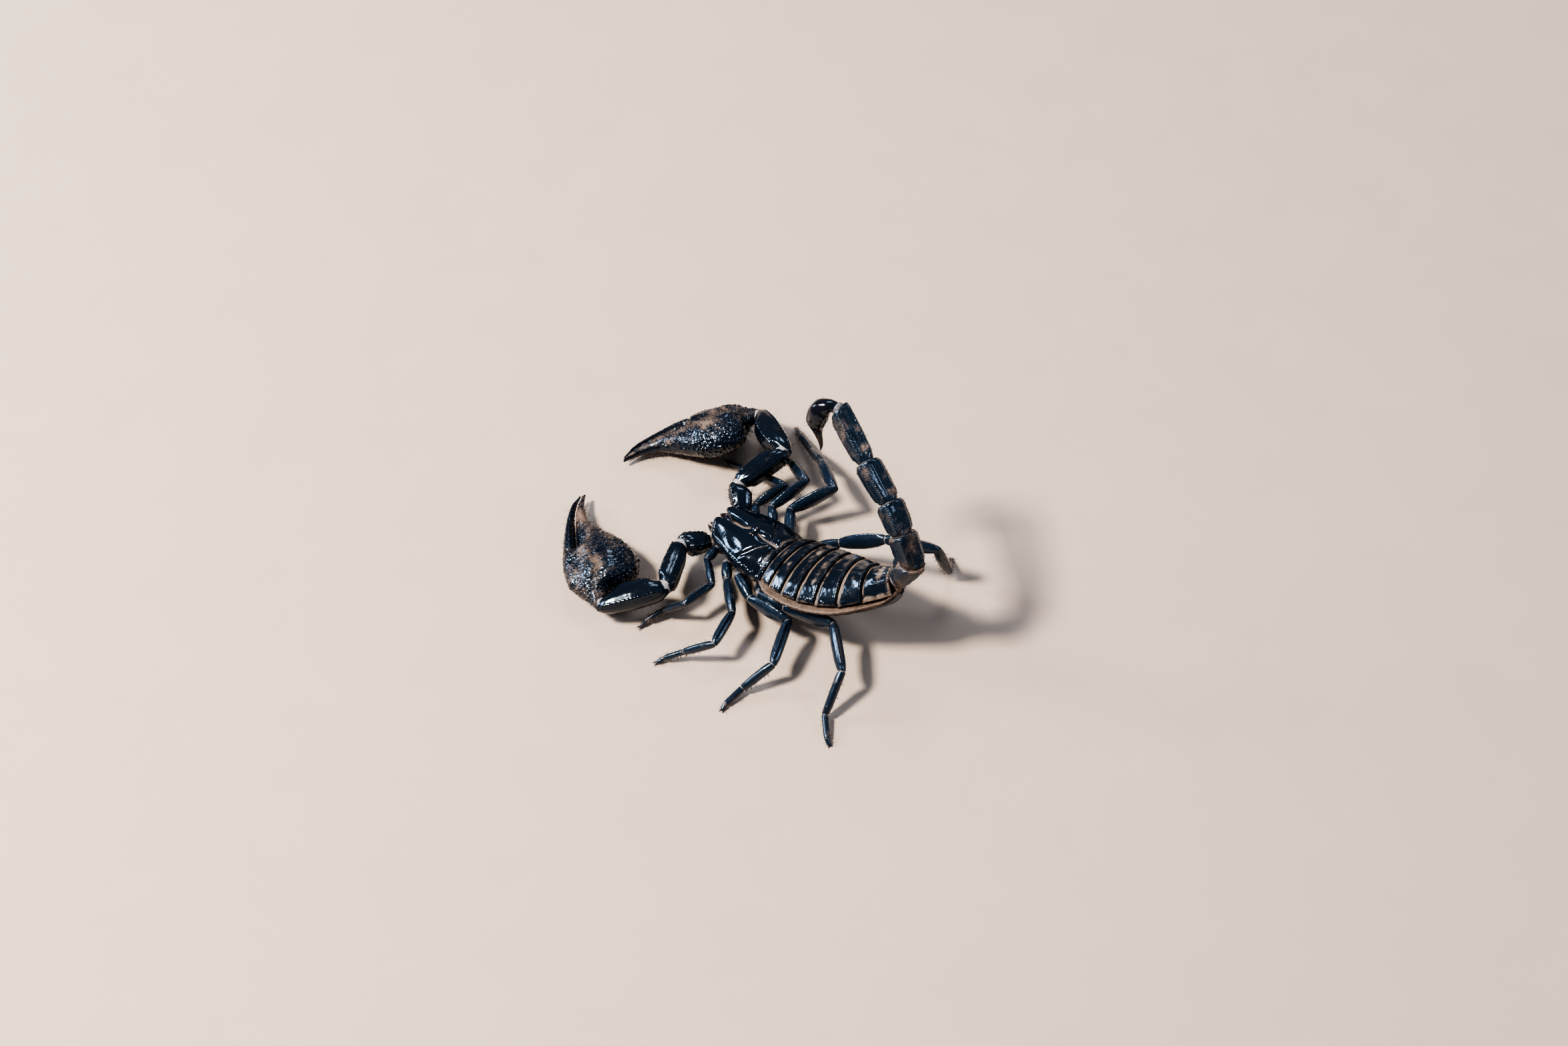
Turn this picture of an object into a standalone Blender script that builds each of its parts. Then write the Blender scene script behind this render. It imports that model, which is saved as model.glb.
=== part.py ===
"""A large black forest scorpion at life size, alarmed, with its tail raised over its back.

Units in this file are millimetres, turned to metres where a mesh is made. The head faces -Y,
the animal's left side is +X, +Z is up and every foot stands on the plane z = 0.
Each shell plate or limb segment that a person would name is one closed body.
"""

import math

import bmesh
import bpy
from mathutils import Quaternion, Vector

MM = 0.001
GAP = 0.3                      # clear space between neighbouring pieces

# The body: the place between carapace and abdomen, and how the back runs from there.
WAIST = Vector((0.0, 0.0, 16.0))
CENTRE_SHIFT = Vector((1.51, 8.9, 0.0))
CARAPACE_LENGTH = 20.6
CARAPACE_YAW = 262.0           # heading of the head, degrees from +X
CARAPACE_PITCH = 9.0
CARAPACE_SAG = 5.2             # how far its sides hang below the crown, at the rear
CARAPACE_STATIONS = (0.0, 0.14, 0.34, 0.56, 0.76, 0.9, 1.0)     # share of the way to the front
CARAPACE_HALF_WIDTHS = (8.6, 9.1, 9.1, 8.5, 7.4, 6.7, 5.9)
CARAPACE_PLATE = 1.0
FRONT_LOBE = 2.4               # how far each front lobe stands out
FRONT_CLEFT = 3.6              # depth of the cleft between the lobes
FURROW_DEPTH = 0.9
ABDOMEN_LENGTH = 35.0
ABDOMEN_YAW = (82.0, 110.0)    # heading of the back at the waist and at the tail
ABDOMEN_PITCH = (10.0, 33.0)
# A jaw: distance ahead of the waist, half width, half height; its place beside and below the crown.
JAW = ((17.8, 1.3, 1.2), (18.8, 1.7, 1.6), (21.2, 1.75, 1.65), (22.6, 1.2, 1.25), (23.8, 0.6, 0.65),
       (24.7, 0.3, 0.3))
JAW_OFFSET = 2.05
JAW_DROP = 5.6
EYE_PLACE = (9.6, 1.15, 0.34)  # ahead of the waist, beside the midline, above the crown
EYE_RADIUS = 0.5
BODY_DEPTH = 9.4
PLATE = 0.8                    # thickness of a back plate
PLATE_SAG = 3.3                # how far its ends hang below the crown

TERGITE_LENGTHS = (2.5, 3.5, 4.1, 4.7, 5.2, 5.8, 7.4)
TERGITE_HALF_WIDTHS = (8.4, 9.1, 9.5, 9.6, 9.2, 8.3, 6.4, 4.6)
STERNITE_SPANS = ((7.6, 13.2), (13.2, 18.6), (18.6, 23.6), (23.6, 28.2), (28.2, 34.4))

# The tail: length, heading and pitch of each ring, and its half width and half height.
TAIL_ROOT_DEPTH = 1.7
TAIL_SEGMENTS = (
    (7.7, 113.0, 65.0, 3.7, 3.2),
    (8.0, 248.0, 54.0, 3.5, 3.2),
    (8.3, 244.0, 37.0, 3.3, 3.1),
    (11.2, 250.0, 28.5, 3.1, 2.9),
    (14.5, 246.0, 24.0, 2.8, 2.6),
)
# The sting beyond the last ring: step, heading, pitch and half width.
STING_CURL = (
    (1.9, 280.0, 4.0, 1.6), (2.0, 296.0, -22.0, 2.3), (1.9, 312.0, -52.0, 2.7), (2.0, 340.0, -72.0, 2.7),
    (2.0, 30.0, -76.0, 2.25), (1.6, 52.0, -70.0, 1.45), (1.6, 62.0, -66.0, 0.95), (1.8, 66.0, -62.0, 0.65),
    (1.4, 50.0, -58.0, 0.45), (1.2, 20.0, -55.0, 0.28),
)

# Pedipalps: per side the heading and pitch of trochanter, femur, patella and hand.
ARM_LENGTHS = (8.2, 13.8, 16.4, 36.6)
ARM_POSE = {
    "left": ((-34.0, 12.0), (20.0, 4.0), (-44.0, -12.0), (-137.0, -4.0)),
    "right": ((-137.0, 14.0), (161.0, 14.0), (-121.0, -14.0), (-37.0, -8.0)),
}
ARM_ROOT = (19.0, 5.7, 6.8)    # ahead of the waist, beside the midline, above the floor
HAND_ROLL = {"left": 6.0, "right": 29.0}   # how far the inner edge is lifted, degrees

# Legs: segment lengths of pairs 1 to 4 (trochanter, femur, patella, tibia, basitarsus).
LEG_LENGTHS = {
    1: (4.2, 8.4, 8.6, 7.6, 4.4),
    2: (5.2, 10.8, 9.8, 8.8, 5.2),
    3: (7.4, 12.2, 12.2, 9.8, 5.8),
    4: (7.8, 14.4, 13.0, 11.5, 6.4),
}
LEG_SCALE = {1: 0.88, 2: 0.98, 3: 1.1, 4: 1.12}
LEG_ROOT = {1: (16.0, 6.8, 7.4), 2: (11.0, 8.4, 7.6), 3: (6.0, 9.3, 8.0), 4: (-1.2, 9.1, 7.3)}
LEG_POSE = {
    ("left", 1): ((0, 0), (45, 7), (-14, -3), (-66, -40), (-30, -18), (-15, -35)),
    ("left", 2): ((38, 0), (43, 6), (9, -5), (-58, -30), (-50, -24), (-32, -28)),
    ("left", 3): ((60, -1), (86, 5), (18, -9), (-28, -32), (-10, -9), (5, -26)),
    ("left", 4): ((90, 4), (94.5, 12.5), (45, -9), (9, -38), (40, -8), (60, -26)),
    ("right", 1): ((-150, -3), (158, 14), (-103, -28), (-98, -22), (-90, -16), (-112, -26)),
    ("right", 2): ((-141, 4), (161, 16), (-120, -22), (-116, -32), (-118, -14), (-122, -28)),
    ("right", 3): ((-146, -4), (142, 24), (-130, -18), (-124, -33), (-118, -12), (-128, -25)),
    ("right", 4): ((135, 12), (104, 33), (116, -6), (150, -72), (210, -34), (200, -30)),
}

# Segment outlines along a limb: fraction of the length, half width, half height.
LEG_TROCHANTER = ((0.0, 1.15, 1.25), (0.55, 1.45, 1.75), (1.0, 1.0, 1.2))
LEG_FEMUR = ((0.0, 1.0, 1.2), (0.22, 1.25, 1.85), (0.55, 1.35, 2.15), (0.82, 1.25, 1.8), (1.0, 1.0, 1.2))
LEG_PATELLA = ((0.0, 1.0, 1.2), (0.25, 1.3, 1.75), (0.65, 1.3, 1.8), (0.88, 1.15, 1.4), (1.0, 0.95, 1.0))
LEG_TIBIA = ((0.0, 0.95, 1.0), (0.3, 1.0, 1.3), (0.8, 0.95, 1.15), (1.0, 0.8, 0.85))
LEG_BASITARSUS = ((0.0, 0.8, 0.85), (0.5, 0.75, 0.8), (1.0, 0.6, 0.65))
LEG_TARSUS = ((0.0, 0.6, 0.65), (0.4, 0.55, 0.55), (1.0, 0.4, 0.4))
ARM_TROCHANTER = ((0.0, 1.5, 1.6), (0.35, 2.7, 2.6), (0.72, 3.0, 2.8), (1.0, 1.9, 1.9))
ARM_FEMUR = ((0.0, 1.9, 1.9), (0.22, 2.5, 2.5), (0.55, 2.7, 2.7), (0.82, 2.7, 2.7), (1.0, 1.9, 1.9))
ARM_PATELLA = ((0.0, 1.9, 1.9), (0.19, 3.2, 3.0), (0.4, 3.5, 3.2), (0.66, 3.4, 3.1), (0.8, 2.9, 2.8),
               (1.0, 1.7, 1.7))

# The hand: distance from the wrist, inner edge, outer edge, half thickness.
PALM = ((0.0, 1.6, -1.6, 1.6), (2.5, 2.1, -3.8, 2.6), (4.1, 3.0, -5.8, 3.6), (5.4, 7.2, -6.6, 4.0),
        (8.2, 9.9, -7.7, 4.8), (12.0, 10.4, -8.2, 4.8), (16.2, 8.4, -8.2, 4.4))
FIXED_FINGER = ((16.8, 8.1, -4.0, 4.2), (20.6, 5.0, -4.1, 3.3), (24.0, 1.6, -4.1, 2.4),
                (27.5, -0.9, -3.9, 1.7), (31.7, -1.4, -3.1, 1.2), (36.6, -0.6, -1.3, 0.4))
MOVABLE_FINGER = ((17.1, -4.7, -8.1, 2.6), (20.6, -4.6, -7.7, 2.3), (26.1, -4.5, -6.6, 1.7),
                  (31.7, -3.7, -4.8, 1.1), (36.0, -1.9, -2.3, 0.4))


def heading(azimuth, pitch):
    """Unit vector for a heading about +Z and a pitch above the floor, in degrees."""
    flat = math.cos(math.radians(pitch))
    turn = math.radians(azimuth)
    return Vector((flat * math.cos(turn), flat * math.sin(turn), math.sin(math.radians(pitch))))


def shell_material(name, colour, roughness, metallic=0.0):
    """A Principled material in the colour and gloss of one kind of surface."""
    material = bpy.data.materials.new(name)
    material.use_nodes = True
    shader = material.node_tree.nodes["Principled BSDF"]
    shader.inputs["Base Color"].default_value = (*colour, 1.0)
    shader.inputs["Roughness"].default_value = roughness
    shader.inputs["Metallic"].default_value = metallic
    return material


def add_rings(mesh, rings):
    """Joins rings of equal point count into one closed body with filled ends."""
    loops = [[mesh.verts.new((point + CENTRE_SHIFT) * MM) for point in ring] for ring in rings]
    count = len(loops[0])
    for low, high in zip(loops, loops[1:]):
        for i in range(count):
            j = (i + 1) % count
            mesh.faces.new((low[i], low[j], high[j], high[i]))
    mesh.faces.new(list(reversed(loops[0])))
    mesh.faces.new(loops[-1])


def body(name, material, rings, sharp=42.0):
    """One node: a closed body lofted through rings, with edges sharper than an angle kept."""
    mesh = bmesh.new()
    add_rings(mesh, rings)
    bmesh.ops.triangulate(mesh, faces=mesh.faces[:])
    bmesh.ops.recalc_face_normals(mesh, faces=mesh.faces[:])
    data = bpy.data.meshes.new(name)
    mesh.to_mesh(data)
    mesh.free()
    data.materials.append(material)
    data.shade_smooth()
    data.set_sharp_from_angle(angle=math.radians(sharp))
    node = bpy.data.objects.new(name, data)
    bpy.context.scene.collection.objects.link(node)
    return node


def oval(centre, side, up, half_width, half_height, sides, keel=0.0):
    """A ring of points round a centre; keel pushes every other point out into a ridge."""
    ring = []
    for i in range(sides):
        angle = 2.0 * math.pi * (i + 0.5) / sides
        reach = 1.0 + (keel if i % 2 else -keel)
        ring.append(centre + side * (half_width * reach * math.cos(angle))
                    + up * (half_height * reach * math.sin(angle)))
    return ring


def slide_to_plane(ring, along, point, normal):
    """Moves a ring's points along a direction until they lie on a plane."""
    slope = along.dot(normal)
    return [p + along * ((point - p).dot(normal) / slope) for p in ring]


class Limb:
    """A chain of straight segments whose neighbours are cut on the plane that halves their bend."""

    def __init__(self, root, directions, lengths):
        self.directions = directions
        self.joints = [root]
        for direction, length in zip(directions, lengths):
            self.joints.append(self.joints[-1] + direction * length)
        self.cuts = [directions[0]]
        for before, after in zip(directions, directions[1:]):
            self.cuts.append((before + after).normalized())
        self.cuts.append(directions[-1])

    def axes(self, index):
        """Sideways and upward unit vectors of one segment."""
        along = self.directions[index]
        side = along.cross(Vector((0.0, 0.0, 1.0))).normalized()
        return side, side.cross(along).normalized()

    def rings(self, index, outline, scale, sides, start_gap, end_gap, keel=0.0):
        """The rings of one segment, with its end rings slid onto the two cutting planes."""
        along = self.directions[index]
        start, end = self.joints[index], self.joints[index + 1]
        side, up = self.axes(index)
        rings = []
        for fraction, half_width, half_height in outline:
            centre = start.lerp(end, fraction)
            rings.append(oval(centre, side, up, half_width * scale, half_height * scale, sides, keel))
        first, last = self.cuts[index], self.cuts[index + 1]
        rings[0] = slide_to_plane(rings[0], along, start + first * start_gap, first)
        rings[-1] = slide_to_plane(rings[-1], along, end - last * end_gap, last)
        return rings


def joined(*parts):
    """Ring sets of neighbouring segments run together, with one shared ring at each joint."""
    rings = list(parts[0])
    for part in parts[1:]:
        shared = [(a + b) / 2.0 for a, b in zip(rings[-1], part[0])]
        rings[-1] = shared
        rings.extend(part[1:])
    return rings


def back_frame(distance):
    """Crown point, rearward, upward and leftward vectors of the back behind the waist."""
    steps = 40
    point = WAIST.copy()
    along = heading(ABDOMEN_YAW[0], ABDOMEN_PITCH[0])
    for i in range(steps):
        share = (i + 0.5) / steps * distance / ABDOMEN_LENGTH
        along = heading(ABDOMEN_YAW[0] + (ABDOMEN_YAW[1] - ABDOMEN_YAW[0]) * share,
                        ABDOMEN_PITCH[0] + (ABDOMEN_PITCH[1] - ABDOMEN_PITCH[0]) * share)
        point = point + along * (distance / steps)
    left = along.cross(Vector((0.0, 0.0, 1.0))).normalized()
    return point, along, left.cross(along).normalized(), left


def head_frame():
    """Forward, leftward and upward unit vectors of the carapace."""
    ahead = heading(CARAPACE_YAW, -CARAPACE_PITCH)
    left = Vector((0.0, 0.0, 1.0)).cross(ahead).normalized()
    return ahead, left, ahead.cross(left).normalized()


def head_place(forward, leftward, height):
    """A point by its distance ahead of the waist, beside the midline and above the floor."""
    flat = heading(CARAPACE_YAW, 0.0)
    left = Vector((0.0, 0.0, 1.0)).cross(flat)
    return Vector((WAIST.x, WAIST.y, 0.0)) + flat * forward + left * leftward + Vector((0, 0, height))


def carapace(material):
    """The head shield: an arched plate, cleft in front into two lobes, with a furrow along it."""
    ahead, left, up = head_frame()
    lanes = 14
    rings = []
    for share, half_width in zip(CARAPACE_STATIONS, CARAPACE_HALF_WIDTHS):
        nose = 1.0 * share ** 4
        top, under = [], []
        for lane in range(lanes + 1):
            across = 2.0 * lane / lanes - 1.0
            lobe = FRONT_LOBE * (1.0 - abs(across) ** 2.2) - FRONT_CLEFT * math.exp(-(across / 0.2) ** 2)
            reach = CARAPACE_LENGTH - 1.2 + lobe
            sag = CARAPACE_SAG * abs(across) ** 2.3 * (1.0 - 0.45 * share)
            furrow = FURROW_DEPTH * math.exp(-(across / 0.12) ** 2) * (0.5 + share)
            drop = sag + furrow + nose
            place = WAIST + ahead * (0.2 + share * reach) + left * (across * half_width)
            top.append(place - up * drop)
            inner = WAIST + ahead * (0.2 + share * reach * 0.995) + left * (across * (half_width - 0.8))
            under.append(inner - up * (drop + CARAPACE_PLATE))
        rings.append(top + list(reversed(under)))
    return body("carapace", material, rings, sharp=50.0)


def cephalothorax(material):
    """The leg bases and breastplate under the carapace, as one block."""
    ahead, left, up = head_frame()
    sections = ((0.6, 6.8, 2.4, 6.2), (5.0, 7.4, 2.4, 6.8), (11.0, 6.9, 2.7, 6.6), (15.5, 5.0, 3.6, 5.4),
                (17.4, 3.8, 4.2, 4.4))
    rings = []
    for forward, half_width, cover, depth in sections:
        crown = WAIST + ahead * forward
        top = []
        for share in (-0.94, -0.6, -0.25, 0.25, 0.6, 0.94):
            drop = cover + 0.9 * CARAPACE_SAG * abs(share * half_width / 8.8) ** 2.3
            top.append(crown + left * (half_width * share) - up * drop)
        low = []
        for share, lift in ((0.97, 1.2), (0.8, -0.3), (0.3, -0.8), (-0.3, -0.8), (-0.8, -0.3), (-0.97, 1.2)):
            low.append(crown + left * (half_width * share) - up * (cover + depth - lift))
        rings.append(top + low)
    return body("cephalothorax_underside", material, rings)


def chelicera(side, material):
    """One jaw: a short stout base with a fixed and a movable tooth in front."""
    ahead, left, up = head_frame()
    sign = 1.0 if side == "left" else -1.0
    rings = []
    for forward, half_width, half_height in JAW:
        centre = WAIST + ahead * forward + left * (sign * JAW_OFFSET) - up * JAW_DROP
        rings.append(oval(centre, left, up, half_width, half_height, 8))
    return body("chelicera_" + side, material, rings)


def eye(side, material):
    """One of the two main eyes, a bead on the crown beside the furrow."""
    ahead, left, up = head_frame()
    sign = 1.0 if side == "left" else -1.0
    forward, lateral, rise = EYE_PLACE
    centre = WAIST + ahead * forward + left * (sign * lateral) + up * rise
    rings = []
    for step in range(1, 6):
        polar = math.pi * step / 6.0
        radius = EYE_RADIUS * math.sin(polar)
        rings.append(oval(centre + up * (EYE_RADIUS * math.cos(polar)), ahead, left, radius, radius, 8))
    return body("median_eye_" + side, material, rings)


def arch(point, up, left, half_width, sag, depth, lanes):
    """Points over the back from left to right, lowered by the arch and by a depth."""
    points = []
    for lane in range(lanes + 1):
        across = 1.0 - 2.0 * lane / lanes
        drop = sag * abs(across) ** 2.2
        points.append(point + left * (half_width * across) - up * (drop + depth))
    return points


def half_width_at(distance):
    """Half width of the back plates at a distance behind the waist."""
    edges = [0.0]
    for length in TERGITE_LENGTHS:
        edges.append(edges[-1] + length)
    for i, width in enumerate(TERGITE_HALF_WIDTHS[:-1]):
        if distance <= edges[i + 1]:
            share = (distance - edges[i]) / TERGITE_LENGTHS[i]
            return width + (TERGITE_HALF_WIDTHS[i + 1] - width) * share
    return TERGITE_HALF_WIDTHS[-1]


def slimness(distance):
    """How far the abdomen's depth has shrunk at a distance behind the waist."""
    return 1.0 - 0.36 * (distance / ABDOMEN_LENGTH) ** 3


def tergites(material):
    """Seven plates along the back, each a little raised at its rear edge."""
    start = 0.5
    for number, length in enumerate(TERGITE_LENGTHS, 1):
        band = 0.35 if number == 1 else 0.75
        rings = []
        for share, rise in ((0.0, 0.0), (0.5, 0.18), (1.0, 0.3)):
            distance = start + band + (length - band) * share
            point, _, up, left = back_frame(distance)
            width = half_width_at(distance)
            top = arch(point, up, left, width, PLATE_SAG, -rise, 8)
            under = arch(point, up, left, width - 0.35, PLATE_SAG, PLATE - rise * 0.4, 8)
            rings.append(top + list(reversed(under)))
        body("tergite_%d" % number, material, rings)
        start += length


def abdomen_core(material):
    """The soft body between the back and belly plates, widest just below the back plates."""
    rings = []
    for distance in (0.9, 4.0, 8.0, 12.5, 17.0, 21.5, 26.0, 30.0, 33.0):
        point, _, up, left = back_frame(distance)
        width = half_width_at(distance)
        slim = slimness(distance)
        top = arch(point, up, left, width - 0.9, PLATE_SAG - 0.2, PLATE + 1.1, 6)
        flank = ((width + 1.2, 4.95), (width + 0.7, 6.0), (width - 1.9, 7.2),
                 ((width - 3.6) * 0.95, BODY_DEPTH))
        lower = [point - left * x - up * (z * slim) for x, z in flank]
        lower += [point + left * x - up * (z * slim) for x, z in reversed(flank)]
        rings.append(top + lower)
    return body("abdomen_membrane", material, rings)


def sternites(material):
    """Five smooth plates along the belly."""
    for number, (front, rear) in enumerate(STERNITE_SPANS, 3):
        rings = []
        for share in (0.0, 0.5, 1.0):
            distance = front + 0.25 + (rear - front - 0.5) * share
            point, _, up, left = back_frame(distance)
            slim = slimness(distance)
            width = (half_width_at(distance) - 3.6) * 0.95
            upper = [point + left * (width * a) - up * (BODY_DEPTH * slim + 0.35)
                     for a in (1.0, 0.5, -0.5, -1.0)]
            lower = [point + left * (width * a) - up * (BODY_DEPTH * slim + 0.35 + b)
                     for a, b in ((-0.97, 0.6), (-0.5, 1.1), (0.5, 1.1), (0.97, 0.6))]
            rings.append(upper + lower)
        body("sternite_%d" % number, material, rings)


def pectines(material):
    """The pair of combs under the belly on their shared base, with teeth along the rear edges."""
    point, along, up, left = back_frame(3.2)
    root = point - up * (BODY_DEPTH + 0.75)
    teeth, pitch, base, thick = 9, 0.65, 1.1, 0.6
    edges = {}
    for sign in (1.0, -1.0):
        reach = (left * sign * 0.93 + along * 0.36).normalized()
        rear = (along * 0.93 - left * sign * 0.36).normalized()
        start = root + left * (sign * base)
        front = [start + reach * (i * pitch * 2.0) - rear * 0.6 for i in range(teeth // 2 + 1)]
        back = []
        for i in range(2 * teeth + 1):
            back.append(start + reach * (i * pitch / 2.0) + rear * (1.3 if i % 2 else 0.6))
        edges[sign] = (front, back)
    outline = list(reversed(edges[1.0][0])) + edges[-1.0][0]
    outline += list(reversed(edges[-1.0][1])) + edges[1.0][1]
    return body("pectines", material, [outline, [p - up * thick for p in outline]])


def tail(material, sting_material):
    """Five keeled rings and the sting bulb with its curved point."""
    point, _, up, _ = back_frame(ABDOMEN_LENGTH)
    root = point - up * TAIL_ROOT_DEPTH
    lengths = [row[0] for row in TAIL_SEGMENTS]
    directions = [heading(row[1], row[2]) for row in TAIL_SEGMENTS]
    limb = Limb(root, directions, lengths)
    limb.cuts[0] = (heading(ABDOMEN_YAW[1], ABDOMEN_PITCH[1]) + directions[0]).normalized()
    limb.cuts[-1] = (directions[-1] + heading(*STING_CURL[0][1:3])).normalized()
    for i, (_, _, _, half_width, half_height) in enumerate(TAIL_SEGMENTS):
        neck = 0.28 if i < 2 else 0.2
        outline = ((0.0, 0.7, 0.7), (neck, 0.93, 0.91), (0.55, 1.0, 0.97), (1.0 - neck, 1.0, 1.03),
                   (1.0, 0.78, 0.78))
        sized = [(share, w * half_width, h * half_height) for share, w, h in outline]
        body("metasoma_%d" % (i + 1), material,
             limb.rings(i, sized, 1.0, 10, GAP / 2, GAP / 2, keel=0.045))
    telson(limb.joints[-1], limb.cuts[-1], sting_material)


def telson(joint, cut, material):
    """The sting: a bulb, then a point that curls down and back under it."""
    across = heading(15.0, 0.0)
    way = heading(*STING_CURL[0][1:3])
    rings = []
    centre = joint.copy()
    neck = oval(centre, across, across.cross(way).normalized(), 1.3, 1.3, 10)
    rings.append(slide_to_plane(neck, way, joint + cut * (GAP / 2), cut))
    for step, azimuth, pitch, half_width in STING_CURL:
        way = heading(azimuth, pitch)
        centre = centre + way * step
        side = (across - way * across.dot(way)).normalized()
        rings.append(oval(centre, side, side.cross(way).normalized(), half_width, half_width, 10))
    return body("telson", material, rings)


def arm(side, material, hand_material):
    """One pedipalp: trochanter, femur, patella, hand with fixed finger, and movable finger."""
    sign = 1.0 if side == "left" else -1.0
    forward, lateral, height = ARM_ROOT
    root = head_place(forward, sign * lateral, height)
    directions = [heading(*pose) for pose in ARM_POSE[side]]
    limb = Limb(root, directions, ARM_LENGTHS)
    for i, (name, outline) in enumerate((("trochanter", ARM_TROCHANTER), ("femur", ARM_FEMUR),
                                         ("patella", ARM_PATELLA))):
        gap = GAP / 2
        body("pedipalp_%s_%s" % (name, side), material, limb.rings(i, outline, 1.0, 10, gap, gap))
    hand(side, sign, limb, hand_material)


def hand(side, sign, limb, material):
    """The broad palm that narrows into the fixed finger, and the movable finger beside it."""
    along = limb.directions[3]
    outward, up = limb.axes(3)
    inward = outward * sign
    roll = Quaternion(along, math.radians(HAND_ROLL[side]) * -sign)
    inward, up = roll @ inward, roll @ up
    wrist = limb.joints[3]

    def section(place, inner, outer, half):
        centre = wrist + along * place + inward * ((inner + outer) / 2.0)
        return oval(centre, inward, up, (inner - outer) / 2.0, half, 12)

    rings = [section(*row) for row in PALM + FIXED_FINGER]
    rings[0] = slide_to_plane(rings[0], along, wrist + limb.cuts[3] * (GAP / 2), limb.cuts[3])
    body("pedipalp_hand_" + side, material, rings)
    rings = [section(*row) for row in MOVABLE_FINGER]
    body("pedipalp_finger_" + side, material, rings)


def leg(side, pair, material):
    """One leg in three pieces: trochanter with femur, patella, and tibia with the foot."""
    sign = 1.0 if side == "left" else -1.0
    scale = LEG_SCALE[pair]
    forward, lateral, height = LEG_ROOT[pair]
    root = head_place(forward, sign * lateral, height)
    directions = [heading(*pose) for pose in LEG_POSE[(side, pair)]]
    ankle = root.z + sum(d.z * length for d, length in zip(directions, LEG_LENGTHS[pair]))
    tarsus_length = ankle / -directions[5].z
    limb = Limb(root, directions, LEG_LENGTHS[pair] + (tarsus_length,))
    limb.cuts[6] = Vector((0.0, 0.0, -1.0))
    gap, sides = GAP / 2, 8
    name = "leg_%s_%d_" % (side, pair)
    thigh = joined(limb.rings(0, LEG_TROCHANTER, scale, sides, gap, 0.0),
                   limb.rings(1, LEG_FEMUR, scale, sides, 0.0, gap))
    body(name + "femur", material, thigh)
    body(name + "patella", material, limb.rings(2, LEG_PATELLA, scale, sides, gap, gap))
    shin = joined(limb.rings(3, LEG_TIBIA, scale, sides, gap, 0.0),
                  limb.rings(4, LEG_BASITARSUS, scale, sides, 0.0, 0.0),
                  limb.rings(5, LEG_TARSUS, scale, sides, 0.0, 0.0))
    body(name + "tibia", material, shin)


def main():
    """Clears the scene and builds the animal."""
    for thing in list(bpy.data.objects):
        bpy.data.objects.remove(thing, do_unlink=True)
    shell = shell_material("black_shell", (0.012, 0.014, 0.02), 0.22)
    limb_shell = shell_material("leg_shell", (0.02, 0.02, 0.028), 0.3)
    hand_shell = shell_material("granular_shell", (0.045, 0.03, 0.022), 0.45)
    soft = shell_material("joint_membrane", (0.45, 0.32, 0.22), 0.5)
    bead = shell_material("eye_bead", (0.01, 0.01, 0.01), 0.08)
    carapace(shell)
    cephalothorax(limb_shell)
    tergites(shell)
    abdomen_core(soft)
    sternites(limb_shell)
    pectines(soft)
    tail(shell, hand_shell)
    for side in ("left", "right"):
        chelicera(side, hand_shell)
        eye(side, bead)
        arm(side, shell, hand_shell)
        for pair in (1, 2, 3, 4):
            leg(side, pair, limb_shell)


main()
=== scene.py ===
"""A life-size forest scorpion in its alarm stance, dressed in shell, skin, dust and bristles.

Lengths inside the classes are millimetres; a mesh is turned to metres when it is put in place.
"""
import logging
import math
from dataclasses import dataclass, field, replace
from enum import Enum
from typing import Callable, Optional, Sequence

import bpy
import numpy as np
from mathutils import Matrix, Quaternion, Vector, kdtree


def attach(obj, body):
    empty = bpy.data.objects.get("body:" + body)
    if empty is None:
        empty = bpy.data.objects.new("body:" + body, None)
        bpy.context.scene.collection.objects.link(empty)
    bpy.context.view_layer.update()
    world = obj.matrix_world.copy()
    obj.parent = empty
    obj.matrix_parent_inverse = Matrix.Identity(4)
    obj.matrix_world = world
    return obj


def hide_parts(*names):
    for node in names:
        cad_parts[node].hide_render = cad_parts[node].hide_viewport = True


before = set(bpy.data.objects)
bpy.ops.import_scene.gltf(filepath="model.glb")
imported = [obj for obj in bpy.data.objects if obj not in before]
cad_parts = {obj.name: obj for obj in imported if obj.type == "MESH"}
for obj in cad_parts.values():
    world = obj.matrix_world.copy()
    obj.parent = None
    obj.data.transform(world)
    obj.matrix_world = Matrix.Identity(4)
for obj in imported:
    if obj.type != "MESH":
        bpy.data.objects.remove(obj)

LOG = logging.getLogger("scorpion")
MM = 0.001
UP = Vector((0.0, 0.0, 1.0))
WAIST = Vector((0.0, 0.0, 16.0))
SHIFT = Vector((1.51, 8.9, 0.0))       # from the waist's own place to the middle of the box
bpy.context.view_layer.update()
Array = np.ndarray
Piece = bpy.types.Object
Material = bpy.types.Material
Socket = bpy.types.NodeSocket
Rows = Sequence[Sequence[float]]
Colour = tuple[float, float, float, float]


class Side(Enum):
    """The two sides of the animal."""

    LEFT = "left"
    RIGHT = "right"

    @property
    def sign(self) -> float:
        """+1 on the animal's left, -1 on its right."""
        return 1.0 if self is Side.LEFT else -1.0


class Slot(Enum):
    """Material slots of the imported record."""

    SHELL = "black_shell"
    LEG = "leg_shell"
    GRANULAR = "granular_shell"
    SKIN = "joint_membrane"
    EYE = "eye_bead"


# ---------------------------------------------------------------- numbers and frames


def heading(azimuth: float, pitch: float) -> Vector:
    """Unit vector for a heading about +Z and a pitch above the floor, both in degrees."""
    turn, tilt = math.radians(azimuth), math.radians(pitch)
    return Vector((math.cos(tilt) * math.cos(turn), math.cos(tilt) * math.sin(turn), math.sin(tilt)))


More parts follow.
